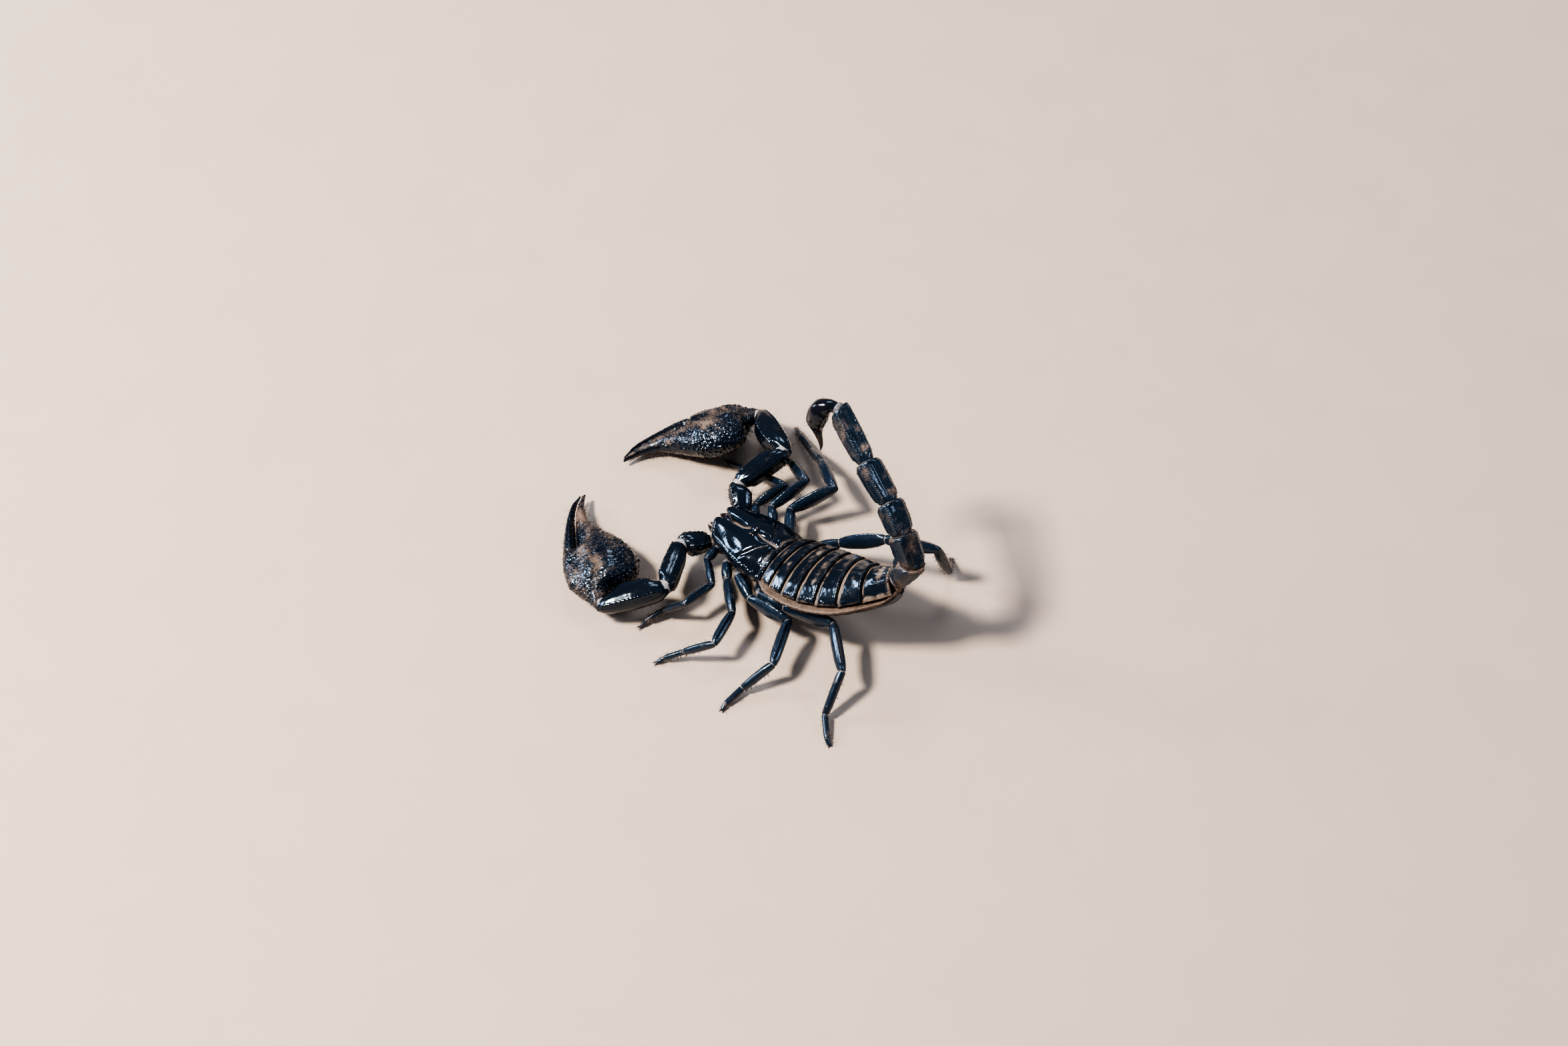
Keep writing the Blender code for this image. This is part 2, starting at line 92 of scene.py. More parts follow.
def hermite(t: Array, gap: Array, low: Array, high: Array, lean: Array, next_lean: Array) -> Array:
    """A cubic between two knots from their values and slopes; t runs from 0 to 1 over the gap."""
    return ((1 + 2 * t) * (1 - t) ** 2 * low + t * (1 - t) ** 2 * gap * lean
            + t * t * (3 - 2 * t) * high + t * t * (t - 1) * gap * next_lean)


def smooth(knots: Array, table: Array, at: Array) -> Array:
    """Smooth values between knots, where each place has a row of values of its own.

    Args:
        knots: Rising positions.
        table: One row per place and one column per knot.
        at: The position read in each row.

    Returns:
        One value per place.
    """
    lean = np.gradient(table, knots, axis=1)
    i = np.clip(np.searchsorted(knots, at, side="right") - 1, 0, len(knots) - 2)
    rows = np.arange(len(at))
    gap = knots[i + 1] - knots[i]
    t = np.clip((at - knots[i]) / gap, 0.0, 1.0)
    return hermite(t, gap, table[rows, i], table[rows, i + 1], lean[rows, i], lean[rows, i + 1])


def read_at(marks: Array, table: Array, at: Array) -> Array:
    """Each column of a table read at positions along its marks."""
    return np.stack([np.interp(at, marks, column) for column in table.T], axis=1)


def glide(marks: Sequence[float], values: Sequence[float], at: Array) -> Array:
    """Smooth values through marks without overshoot.

    Args:
        marks: Rising positions.
        values: The value at each mark.
        at: Positions to read; held at the ends.

    Returns:
        One value for each position.
    """
    x, y = np.asarray(marks, float), np.asarray(values, float)
    at = np.clip(at, x[0], x[-1])
    gaps = np.diff(x)
    slopes = np.diff(y) / gaps
    lean = np.zeros_like(y)
    both = slopes[:-1] * slopes[1:]
    total = slopes[:-1] + slopes[1:]
    lean[1:-1] = np.where(both > 0, 2.0 * both / np.where(both > 0, total, 1.0), 0.0)
    lean[0], lean[-1] = slopes[0], slopes[-1]
    i = np.clip(np.searchsorted(x, at, side="right") - 1, 0, len(gaps) - 1)
    t = (at - x[i]) / gaps[i]
    return hermite(t, gaps[i], y[i], y[i + 1], lean[i], lean[i + 1])


def bell(value: Array, centre: float, width: float) -> Array:
    """A smooth hump of height 1 round a centre."""
    return np.exp(-((value - centre) / width) ** 2)


def ease(value: Array, low: float, high: float) -> Array:
    """0 below low, 1 above high and a smooth rise between; falls instead if low > high."""
    t = np.clip((value - low) / (high - low), 0.0, 1.0)
    return t * t * (3.0 - 2.0 * t)


def plateau(value: Array, start: float, full: float, fall: float, end: float) -> Array:
    """0 before start and after end, 1 between full and fall, with smooth slopes."""
    return ease(value, start, full) * ease(value, end, fall)


def roll_off(room: Array, width: float) -> Array:
    """1 at an edge, falling to 0 where the room left to it reaches a width."""
    return (1.0 - np.clip(room / width, 0.0, 1.0)) ** 2


def turn_gap(angle: Array, centre: float) -> Array:
    """Distance in degrees between angles and a centre, the short way round."""
    return (angle - centre + 180.0) % 360.0 - 180.0


CHANCE_CELL = 0.0137           # mm; points in one such cell draw the same number
CHANCE_MIX = np.array([12.9898, 78.233, 37.719])


def chance(points: Array, seed: int) -> Array:
    """A random-looking number from 0 to 1 for each point.

    It is worked out from the point's own place, so the order in which a mesh lists its points has no say.

    Args:
        points: Places in millimetres.
        seed: Picks the pattern.

    Returns:
        One number per point.
    """
    mixed = np.sin(np.floor(points / CHANCE_CELL + 0.37) @ CHANCE_MIX + 1.7 * seed) * 43758.5453
    return mixed - np.floor(mixed)


WAVE_COUNT = 7
WAVE_REACH = 3.2               # keeps the sum of so many waves mostly within -1 and 1


def waves(points: Array, size: float, seed: int) -> Array:
    """Soft lumpy noise between about -1 and 1, from a few crossing sine waves.

    Args:
        points: Positions in millimetres.
        size: Rough size of one lump in millimetres.
        seed: Picks the directions.

    Returns:
        One value for each position.
    """
    draw = np.random.default_rng(seed)
    total = np.zeros(len(points))
    for _ in range(WAVE_COUNT):
        way = draw.normal(size=3)
        way *= 2.0 * math.pi / (size * draw.uniform(0.7, 1.9)) / np.linalg.norm(way)
        total += np.sin(points @ way + draw.uniform(0.0, 6.28))
    return total / WAVE_REACH


@dataclass(frozen=True)
class Place:
    """A right-handed working frame: x across, y up, z along; the origin is in millimetres."""

    origin: Vector
    across: Vector
    up: Vector
    along: Vector

    @staticmethod
    def on(origin: Vector, along: Vector, roll: float = 0.0) -> "Place":
        """A frame at a point, with y as near to +Z as it can be.

        Args:
            origin: Its place.
            along: The direction of z.
            roll: Degrees it is turned round z.

        Returns:
            The frame.
        """
        side = along.cross(UP).normalized()
        up = side.cross(along).normalized()
        turn = Quaternion(along, math.radians(roll))
        return Place(origin, turn @ -side, turn @ up, along.normalized())

    def matrix(self, across: float = 1.0, up: float = 1.0, along: float = 1.0) -> Matrix:
        """The matrix from this frame's stretched millimetres to the object's metres."""
        turn = Matrix((self.across * across, self.up * up, self.along * along)).transposed() * MM
        return Matrix.Translation((self.origin + SHIFT) * MM) @ turn.to_4x4()

    def point(self, x: float, y: float, z: float) -> Vector:
        """A point of this frame in the body's millimetres."""
        return self.origin + self.across * x + self.up * y + self.along * z


class Spine:
    """A smooth curved line with a frame carried along it, on which a straight mesh is bent."""

    def __init__(self, points: Sequence[Vector], across: Vector) -> None:
        """Runs a smooth line through points.

        Args:
            points: The line's knots.
            across: The direction that stays sideways along the whole line.
        """
        knots = np.array([tuple(p) for p in points])
        marks = np.concatenate([[0.0], np.cumsum(np.linalg.norm(np.diff(knots, axis=0), axis=1))])
        fine = np.linspace(0.0, marks[-1], 16 * len(knots))
        line = np.stack([smooth(marks, np.tile(column, (len(fine), 1)), fine) for column in knots.T], axis=1)
        self.marks = np.concatenate([[0.0], np.cumsum(np.linalg.norm(np.diff(line, axis=0), axis=1))])
        self.length = float(self.marks[-1])
        self.line = line
        way = np.gradient(line, self.marks, axis=0)
        self.way = way / np.linalg.norm(way, axis=1)[:, None]
        side = np.array(tuple(across)) - self.way * (self.way @ np.array(tuple(across)))[:, None]
        self.side = side / np.linalg.norm(side, axis=1)[:, None]
        self.top = np.cross(self.way, self.side)

    def carry(self, points: Array) -> Array:
        """Takes points of a straight frame onto the curved line.

        Args:
            points: Rows with x across, y top and z along.

        Returns:
            Rows in the body's millimetres.
        """
        z = points[:, 2]
        line, side, top, way = (read_at(self.marks, t, z) for t in (self.line, self.side, self.top, self.way))
        beyond = z - np.clip(z, 0.0, self.length)
        return line + side * points[:, :1] + top * points[:, 1:2] + way * beyond[:, None]


# ---------------------------------------------------------------- finishes


class Graph:
    """Shorthand for building one procedural material."""

    def __init__(self, name: str) -> None:
        """Starts a material with its Principled shader and object coordinates.

        Args:
            name: Name of the material.
        """
        self.material = bpy.data.materials.new(name)
        self.material.use_nodes = True
        self.tree = self.material.node_tree
        self.shader = self.tree.nodes["Principled BSDF"]
        self.place = self.node("ShaderNodeTexCoord", {}).outputs["Object"]

    def feed(self, node: bpy.types.Node, inputs: dict[object, object]) -> None:
        """Links sockets to a node's inputs, or sets plain numbers or colours.

        Args:
            node: The node.
            inputs: What each input takes, by its name or number.
        """
        for key, value in inputs.items():
            if isinstance(value, Socket):
                self.tree.links.new(value, node.inputs[key])
            else:
                node.inputs[key].default_value = value

    def node(self, kind: str, inputs: dict[object, object], **settings: object) -> bpy.types.Node:
        """Adds a node.

        Args:
            kind: Its type.
            inputs: What its inputs take.
            settings: Values of its own properties.

        Returns:
            The node.
        """
        node = self.tree.nodes.new(kind)
        for key, value in settings.items():
            setattr(node, key, value)
        self.feed(node, inputs)
        return node

    def noise(self, scale: float, detail: float, rough: float) -> Socket:
        """Noise on object coordinates, a value round 0.5; scale counts features per metre."""
        inputs = {"Vector": self.place, "Scale": scale, "Detail": detail, "Roughness": rough}
        return self.node("ShaderNodeTexNoise", inputs).outputs["Fac"]

    def cells(self, scale: float) -> Socket:
        """Distance to the nearest of many scattered points, for fine pits."""
        return self.node("ShaderNodeTexVoronoi", {"Vector": self.place, "Scale": scale}).outputs["Distance"]

    def mark(self, name: str) -> Socket:
        """A number stored on the mesh's points."""
        return self.node("ShaderNodeAttribute", {}, attribute_name=name).outputs["Fac"]

    def math(self, operation: str, a: object, b: object, c: float = 0.0, clamp: bool = False) -> Socket:
        """One arithmetic step on two values, or on three for MULTIPLY_ADD."""
        node = self.node("ShaderNodeMath", {0: a, 1: b, 2: c}, operation=operation, use_clamp=clamp)
        return node.outputs[0]

    def blend(self, share: object, a: object, b: object) -> Socket:
        """A mix of two colours."""
        return self.node("ShaderNodeMix", {0: share, 6: a, 7: b}, data_type="RGBA").outputs[2]

    def span(self, value: object, low: float, high: float) -> Socket:
        """A 0 to 1 value stretched between two numbers."""
        return self.math("ADD", self.math("MULTIPLY", value, high - low), low)

    def surface(self, colour: Socket, rough: Socket, height: Socket, depth: float) -> Material:
        """Feeds the shader.

        Args:
            colour: Base colour.
            rough: Roughness.
            height: Fine relief from 0 to 1.
            depth: The relief's depth in metres; 0 leaves it out.

        Returns:
            The material.
        """
        self.feed(self.shader, {"Base Color": colour, "Roughness": rough})
        if depth:
            bump = self.node("ShaderNodeBump", {"Height": height, "Distance": depth})
            self.feed(self.shader, {"Normal": bump.outputs["Normal"]})
        return self.material


@dataclass(frozen=True)
class ShellFinish:
    """Hard shell with a blue gloss, and dry earth lying where the mesh's dust value is high."""

    name: str
    colour: Colour = (0.0022, 0.0034, 0.0062, 1.0)
    shade: Colour = (0.0045, 0.0085, 0.016, 1.0)
    tip: Colour = (0.014, 0.0045, 0.0035, 1.0)
    dust_pale: Colour = (0.24, 0.165, 0.115, 1.0)
    dust_deep: Colour = (0.03, 0.022, 0.018, 1.0)
    tint: Colour = (0.74, 0.87, 1.0, 1.0)
    roughness: float = 0.16
    specular: float = 0.6
    thickness: float = 0.8        # most of the shell's colour that dust can hide
    patch: float = 420.0          # dust patches per metre
    patchiness: float = 1.5
    grain: float = 5200.0
    graininess: float = 0.6
    contrast: float = 2.8
    pits: float = 0.000012         # depth of the shell's own fine relief, metres

    def material(self) -> Material:
        """Builds the material.

        Returns:
            The material.
        """
        g = Graph(self.name)
        patches = g.noise(self.patch, 5.0, 0.62)
        grains = g.noise(self.grain, 2.0, 0.6)
        raw = g.math("ADD", g.mark("dust"), g.span(patches, -self.patchiness / 2, self.patchiness / 2))
        raw = g.math("ADD", raw, g.span(grains, -self.graininess / 2, self.graininess / 2))
        cover = g.math("MULTIPLY_ADD", raw, self.contrast, 0.5 - 0.5 * self.contrast, clamp=True)
        slow = g.noise(160.0, 2.0, 0.5)
        shell = g.blend(slow, self.colour, self.shade)
        shell = g.blend(g.mark("tone"), shell, self.tip)
        earth = g.blend(g.math("MULTIPLY", g.math("ADD", grains, cover), 0.6, clamp=True),
                        self.dust_deep, self.dust_pale)
        cover = g.math("MULTIPLY", cover, self.thickness)
        wear = g.noise(900.0, 4.0, 0.6)
        bare = g.span(wear, self.roughness * 0.6, self.roughness * 1.4)
        rough = g.math("ADD", bare, g.math("MULTIPLY", cover, 0.6))
        height = g.math("ADD", g.math("MULTIPLY", g.cells(3800.0), 0.5), g.math("MULTIPLY", grains, cover))
        g.feed(g.shader, {"Specular Tint": self.tint, "Specular IOR Level": self.specular})
        return g.surface(g.blend(cover, shell, earth), rough, height, self.pits)


@dataclass(frozen=True)
class SkinFinish:
    """Soft skin between the plates, wrinkled, with painted shade in the wrinkles' hollows and where the
    mesh's dust value is high.
    """

    name: str
    pale: Colour = (0.185, 0.122, 0.088, 1.0)
    deep: Colour = (0.055, 0.034, 0.024, 1.0)
    roughness: float = 0.62
    fold: float = 900.0
    depth: float = 0.00008

    def material(self) -> Material:
        """Builds the material.

        Returns:
            The material.
        """
        g = Graph(self.name)
        folds = g.noise(self.fold, 4.0, 0.6)
        blots = g.noise(260.0, 3.0, 0.6)
        # Colour follows the folds' relief half-way, with random blots: painted shade in the wrinkles'
        # hollows.
        share = g.math("MULTIPLY", g.math("ADD", folds, blots), 0.5)
        share = g.math("ADD", g.math("MULTIPLY", g.math("SUBTRACT", share, 0.5), 2.6), 0.5, clamp=True)
        # The mesh's dust value pulls the skin towards its deep colour, as painted shade on the skin under the
        # belly and under the head.
        share = g.math("SUBTRACT", share, g.mark("dust"), clamp=True)
        rough = g.span(blots, self.roughness - 0.12, self.roughness + 0.12)
        height = g.math("ADD", folds, g.math("MULTIPLY", g.noise(4200.0, 2.0, 0.5), 0.3))
        return g.surface(g.blend(share, self.deep, self.pale), rough, height, self.depth)


@dataclass(frozen=True)
class PlainFinish:
    """One glossy or dull surface with a faint unevenness: eyes, bristles and the floor."""

    name: str
    colour: Colour
    other: Colour
    roughness: float
    scale: float = 900.0
    depth: float = 0.0

    def material(self) -> Material:
        """Builds the material.

        Returns:
            The material.
        """
        g = Graph(self.name)
        spots = g.noise(self.scale, 3.0, 0.5)
        rough = g.span(spots, self.roughness * 0.8, self.roughness * 1.2)
        return g.surface(g.blend(spots, self.colour, self.other), rough, spots, self.depth)


EARTH = (0.2, 0.125, 0.082, 1.0)


@dataclass
class Wardrobe:
    """Every material of the animal, made once."""

    shell: Material = field(default_factory=ShellFinish("plate_shell", roughness=0.15).material)
    head: Material = field(default_factory=ShellFinish("head_shell", roughness=0.11, patchiness=1.0).material)
    leg: Material = field(default_factory=ShellFinish(
        "leg_shell_gloss", (0.005, 0.010, 0.019, 1.0), (0.010, 0.020, 0.036, 1.0), roughness=0.23).material)
    claw: Material = field(default_factory=ShellFinish(
        "granular_claw", dust_pale=EARTH, roughness=0.18, patch=300.0, patchiness=1.15, grain=4400.0,
        graininess=1.0).material)
    tail: Material = field(default_factory=ShellFinish(
        "tail_shell", (0.004, 0.0075, 0.014, 1.0), (0.008, 0.016, 0.029, 1.0), dust_pale=EARTH,
        roughness=0.22, patch=300.0, graininess=0.9).material)
    skin: Material = field(default_factory=SkinFinish("side_skin").material)
    joint: Material = field(default_factory=SkinFinish(
        "joint_skin", (0.38, 0.35, 0.34, 1.0), (0.13, 0.11, 0.105, 1.0), 0.42, 620.0, 0.00016).material)
    leg_joint: Material = field(default_factory=SkinFinish(
        "leg_joint_skin", (0.20, 0.185, 0.19, 1.0), (0.07, 0.06, 0.06, 1.0), 0.45).material)
    comb: Material = field(default_factory=SkinFinish(
        "comb_skin", (0.58, 0.46, 0.33, 1.0), (0.3, 0.2, 0.12, 1.0), 0.4).material)
    eye: Material = field(default_factory=PlainFinish(
        "eye_gloss", (0.004, 0.004, 0.005, 1.0), (0.008, 0.007, 0.007, 1.0), 0.05).material)
    hair: Material = field(default_factory=PlainFinish(
        "bristle", (0.045, 0.018, 0.009, 1.0), (0.09, 0.04, 0.02, 1.0), 0.45).material)


# ---------------------------------------------------------------- modelling


class Bench:
    """Modelling steps done with Blender's own operators."""

    @staticmethod
    def clear() -> None:
        """Leaves edit mode and deselects everything."""
        if bpy.context.object is not None and bpy.context.object.mode != "OBJECT":
            bpy.ops.object.mode_set(mode="OBJECT")
        bpy.ops.object.select_all(action="DESELECT")

    @staticmethod
    def pick(obj: Piece) -> None:
        """Makes one object the only selected and the active one.

        Args:
            obj: The object.
        """
        Bench.clear()
        obj.select_set(True)
        bpy.context.view_layer.objects.active = obj

    @staticmethod
    def start(name: str, primitive: Callable[..., object], **settings: object) -> Piece:
        """Adds a primitive mesh.

        Args:
            name: Name of the new object.
            primitive: Blender's operator that adds it.
            settings: The operator's own settings.

        Returns:
            The new object.
        """
        Bench.clear()
        primitive(**settings)
        bpy.context.object.name = name
        return bpy.context.object

    @staticmethod
    def show(name: str, data: bpy.types.ID) -> Piece:
        """Puts a mesh, lamp or camera into the scene.

        Args:
            name: Name of the new object.
            data: What it shows.

        Returns:
            The new object.
        """
        obj = bpy.data.objects.new(name, data)
        bpy.context.scene.collection.objects.link(obj)
        return obj

    @staticmethod
    def loft(name: str, stations: Rows, sides: int, levels: int = 0) -> Piece:
        """A closed tube drawn out of a disc, ring by ring.

        Args:
            name: Name of the piece.
            stations: Per ring its z, half width, half height and, if given, its x and y offsets.
            sides: Points round each ring.
            levels: How often the finished cage is rounded off by subdivision.

        Returns:
            The new object, along +Z.
        """
        rows = filled(stations)
        obj = Bench.start(name, bpy.ops.mesh.primitive_circle_add, vertices=sides, fill_type="NGON")
        bpy.ops.object.mode_set(mode="EDIT")
        z, wide, high, x, y = rows[0]
        bpy.ops.transform.resize(value=(wide, high, 1.0), center_override=(0.0, 0.0, 0.0))
        bpy.ops.transform.translate(value=(x, y, z))
        for last, row in zip(rows, rows[1:]):
            step = (row[3] - last[3], row[4] - last[4], row[0] - last[0])
            bpy.ops.mesh.extrude_region_move(TRANSFORM_OT_translate={"value": step})
            bpy.ops.transform.resize(value=(row[1] / last[1], row[2] / last[2], 1.0),
                                     center_override=(row[3], row[4], row[0]))
        bpy.ops.mesh.select_all(action="SELECT")
        bpy.ops.mesh.normals_make_consistent(inside=False)
        bpy.ops.object.mode_set(mode="OBJECT")
        if levels:
            Bench.apply(obj, "SUBSURF", levels=levels, render_levels=levels)
        return obj

    @staticmethod
    def sheet(name: str, columns: int, rows: int) -> tuple[Piece, Array, Array]:
        """A flat grid to be shaped into a plate.

        Args:
            name: Name of the piece.
            columns: Squares across.
            rows: Squares along.

        Returns:
            The new object, and per point its place across from -1 to 1 and along from 0 to 1.
        """
        obj = Bench.start(name, bpy.ops.mesh.primitive_grid_add, x_subdivisions=columns, y_subdivisions=rows,
                          size=2.0)
        flat = points_of(obj)
        return obj, flat[:, 0], (1.0 + flat[:, 1]) / 2.0

    @staticmethod
    def apply(obj: Piece, kind: str, **settings: object) -> None:
        """Adds a modifier and applies it.

        Args:
            obj: The object.
            kind: The modifier's type.
            settings: The modifier's own settings.
        """
        Bench.pick(obj)
        modifier = obj.modifiers.new(kind.lower(), kind)
        for key, value in settings.items():
            setattr(modifier, key, value)
        bpy.ops.object.modifier_apply(modifier=modifier.name)

    @staticmethod
    def twin(obj: Piece, name: str) -> Piece:
        """A copy of an unmoved object with a mesh of its own."""
        return Bench.show(name, obj.data.copy())

    @staticmethod
    def settle(obj: Piece, matrix: Matrix) -> None:
        """Puts a mesh in its place and leaves the object at the origin, unturned and unscaled.

        Args:
            obj: The object.
            matrix: Where its mesh goes.
        """
        obj.matrix_world = matrix
        Bench.pick(obj)
        bpy.ops.object.transform_apply(location=True, rotation=True, scale=True)
        bpy.ops.object.shade_smooth()

    @staticmethod
    def weld(parts: Sequence[Piece], name: str) -> Piece:
        """Joins objects into one piece.

        Args:
            parts: The objects.
            name: Name of the piece.

        Returns:
            The piece.
        """
        Bench.pick(parts[0])
        for part in parts[1:]:
            part.select_set(True)
        if len(parts) > 1:
            bpy.ops.object.join()
        parts[0].name = name
        return parts[0]


def filled(rows: Rows) -> list[tuple[float, ...]]:
    """Loft rows with the offsets that are left out set to 0."""
    return [tuple(row) + (0.0,) * (5 - len(row)) for row in rows]


def points_of(obj: Piece, what: str = "co") -> Array:
    """Reads three numbers per point.

    Args:
        obj: The object.
        what: co for places, normal for normals.

    Returns:
        One row per point.
    """
    flat = np.zeros(len(obj.data.vertices) * 3)
    obj.data.vertices.foreach_get(what, flat)
    return flat.reshape(-1, 3)


def move_points(obj: Piece, points: Array) -> None:
    """Puts the mesh's points at new places."""
    obj.data.vertices.foreach_set("co", points.ravel())
    obj.data.update()


def store(obj: Piece, name: str, values: Array) -> None:
    """Keeps one number per point on the mesh, for its material."""
    layer = obj.data.attributes.get(name) or obj.data.attributes.new(name, "FLOAT", "POINT")
    layer.data.foreach_set("value", np.broadcast_to(values, len(obj.data.vertices)).astype(float))


def rest_on_floor(obj: Piece) -> None:
    """Flattens whatever of a placed piece would reach below the floor onto it."""
    points = points_of(obj)
    move_points(obj, np.column_stack([points[:, :2], np.maximum(points[:, 2], 0.0)]))


def dress(obj: Piece, material: Material) -> None:
    """Gives a piece its one material."""
    obj.data.materials.clear()
    obj.data.materials.append(material)


def note(obj: Piece, dust: object, tone: object = 0.0) -> None:
    """Keeps the dust and the reddish tip tone for the finish."""
    store(obj, "dust", dust)
    store(obj, "tone", tone)


def hand_over(obj: Piece, material: Material, nodes: Sequence[str],
              matrix: Optional[Matrix] = None) -> None:
    """Dresses a finished piece and rides it on the body.

    Args:
        obj: The piece.
        material: What it wears.
        nodes: The solids it stands for.
        matrix: Where its mesh goes, if it is not in its place yet.
    """
    if matrix is not None:
        Bench.settle(obj, matrix)
    dress(obj, material)
    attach(obj, "root")
    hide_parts(*nodes)
    LOG.info("%s: %d faces", obj.name, len(obj.data.polygons))


@dataclass
class Granules:
    """Raised grains on a shell, as domes that push the mesh out."""

    spacing: float
    radius: float
    height: float
    seed: int

    def scatter(self, points: Array, allowed: Array) -> Array:
        """Picks well spaced centres.

        Args:
            points: The mesh's points.
            allowed: Which of them may be a centre.

        Returns:
            One row per centre.
        """
        order = np.flatnonzero(allowed)
        order = order[np.argsort(chance(points[order], self.seed))]
        taken: dict[tuple[int, int, int], list[Array]] = {}
        centres = []
        limit = self.spacing ** 2
        cells = np.floor(points / self.spacing).astype(int)
        near = [(i, j, k) for i in (-1, 0, 1) for j in (-1, 0, 1) for k in (-1, 0, 1)]
        for index in order:
            x, y, z = cells[index]
            p = points[index]
            others = (q for i, j, k in near for q in taken.get((x + i, y + j, z + k), ()))
            if all((p[0] - q[0]) ** 2 + (p[1] - q[1]) ** 2 + (p[2] - q[2]) ** 2 >= limit for q in others):
                taken.setdefault((x, y, z), []).append(p)
                centres.append(p)
        return np.array(centres).reshape(-1, 3)

    def rise(self, points: Array, centres: Array, allowed: Array) -> Array:
        """How far each point stands out.

        Args:
            points: The mesh's points.
            centres: The grains' centres.
            allowed: Which points may stand out.

        Returns:
            Per point a share of a full grain's height.
        """
        out = np.zeros(len(points))
        if not len(centres):
            return out
        sizes = self.radius * (0.7 + 0.55 * chance(centres, self.seed + 1))
        tree = kdtree.KDTree(len(centres))
        for i, centre in enumerate(centres):
            tree.insert(centre, i)
        tree.balance()
        for index in np.flatnonzero(allowed):
            _, i, distance = tree.find(points[index])
            if distance < sizes[i]:
                out[index] = (1.0 - (distance / sizes[i]) ** 2) * (sizes[i] / self.radius)
        return out

    def emboss(self, obj: Piece, centred: Array, allowed: Array) -> None:
        """Raises scattered grains on a plate.

        Args:
            obj: The plate.
            centred: Which points may be a grain's centre.
            allowed: Which points may stand out.
        """
        points, normals = points_of(obj), points_of(obj, "normal")
        rise = self.rise(points, self.scatter(points, centred), allowed)
        move_points(obj, points + normals * (rise * self.height)[:, None])


KEEL_FADE = 0.06               # share of the tube on both sides of a keel's end over which it fades
ROW_REACH = 14.0               # degrees either side of a line of grains that it may lift


@dataclass
class Tube:
    """A straight modelled tube with its points' share along and angle round (0 is +x, 90 is +y)."""

    obj: Piece
    length: float
    middle: Optional[Callable[[Array], Array]] = None      # x of the middle at a distance
    mirrored: bool = False                                 # 0 degrees is -x instead

    def __post_init__(self) -> None:
        """Takes the points, normals, shares and angles from the mesh."""
        self.points = points_of(self.obj)
        self.normals = points_of(self.obj, "normal")
        self.share = self.points[:, 2] / self.length
        x = self.points[:, 0] - (self.middle(self.points[:, 2]) if self.middle else 0.0)
        self.angle = np.degrees(np.arctan2(self.points[:, 1], -x if self.mirrored else x))

    def move(self, points: Array) -> None:
        """Puts the points at new places, and keeps the shares and angles they had.

        Args:
            points: The new places.
        """
        self.points = points
        move_points(self.obj, points)
        self.normals = points_of(self.obj, "normal")

    def lean(self, place: Place, plane: Vector, steepest: float, most: float) -> Array:
        """How far points move along the tube to turn a ring onto a bend's halving plane.

        Args:
            place: The frame the tube will be put on.
            plane: Normal of the plane.
            steepest: Least share of the normal along the tube that is reckoned with.
            most: The furthest a point may move.

        Returns:
            Millimetres per point.
        """
        x, y, z = plane.dot(place.across), plane.dot(place.up), plane.dot(place.along)
        return np.clip(-(x * self.points[:, 0] + y * self.points[:, 1]) / max(z, steepest), -most, most)

    def push(self, amount: Array) -> None:
        """Moves points along their normals by an amount in millimetres."""
        self.move(self.points + self.normals * amount[:, None])

    def band(self, angle: float, width: float, height: Array) -> None:
        """Raises the surface round an angle by a height in millimetres, or sinks it if negative."""
        self.push(height * bell(turn_gap(self.angle, angle), 0.0, width))

    def ridge(self, angle: float, width: float, height: float, low: float, high: float) -> None:
        """A keel along the tube at an angle, fading out before its ends."""
        fade = plateau(self.share, low - KEEL_FADE, low + KEEL_FADE, high - KEEL_FADE, high + KEEL_FADE)
        self.band(angle, width, height * fade)

    def square(self, amount: Array) -> None:
        """Pushes the four corners between the sides, the top and the bottom out."""
        self.push(amount * np.abs(np.sin(np.radians(2.0 * self.angle))))

    def near(self, angle: float, reach: float) -> Array:
        """Which points are within some degrees of an angle."""
        return np.abs(turn_gap(self.angle, angle)) < reach

    def to_end(self) -> Array:
        """Share of the length between each point and the nearer end."""
        return np.minimum(self.share, 1.0 - self.share)

    def grit(self, grains: Granules, allowed: Array) -> Array:
        """Raises scattered grains.

        Args:
            grains: Their sizes.
            allowed: Which points may stand out.

        Returns:
            The relief as 0 to 1.
        """
        rise = grains.rise(self.points, grains.scatter(self.points, allowed), allowed)
        self.push(rise * grains.height)
        return rise

    def row(self, grains: Granules, angle: float, low: float, high: float) -> Array:
        """Raises one line of grains along the tube.

        Args:
            grains: Their sizes.
            angle: Where the line runs.
            low: Share of the length where it starts.
            high: Share of the length where it ends.

        Returns:
            The relief as 0 to 1.
        """
        count = max(2, int(self.length * (high - low) / grains.spacing))
        on_line = self.near(angle, ROW_REACH)
        near = np.flatnonzero(on_line & (self.share > low) & (self.share < high))
        if not len(near):
            return np.zeros(len(self.points))
        aside = np.abs(turn_gap(self.angle[near], angle)) * 0.05
        ties = 0.002 * chance(self.points[near], grains.seed)
        misses = (np.abs(self.share[near] - share) * self.length + aside + ties
                  for share in np.linspace(low, high, count))
        centres = np.array([self.points[near[int(np.argmin(miss))]] for miss in misses])
        rise = grains.rise(self.points, centres, on_line)
        self.push(rise * grains.height)
        return rise


RING_SWELL = 1.04              # makes up for what rounding takes off a cage's rings
SLIM = 0.97                    # leaves room for the keels and grains that are raised later


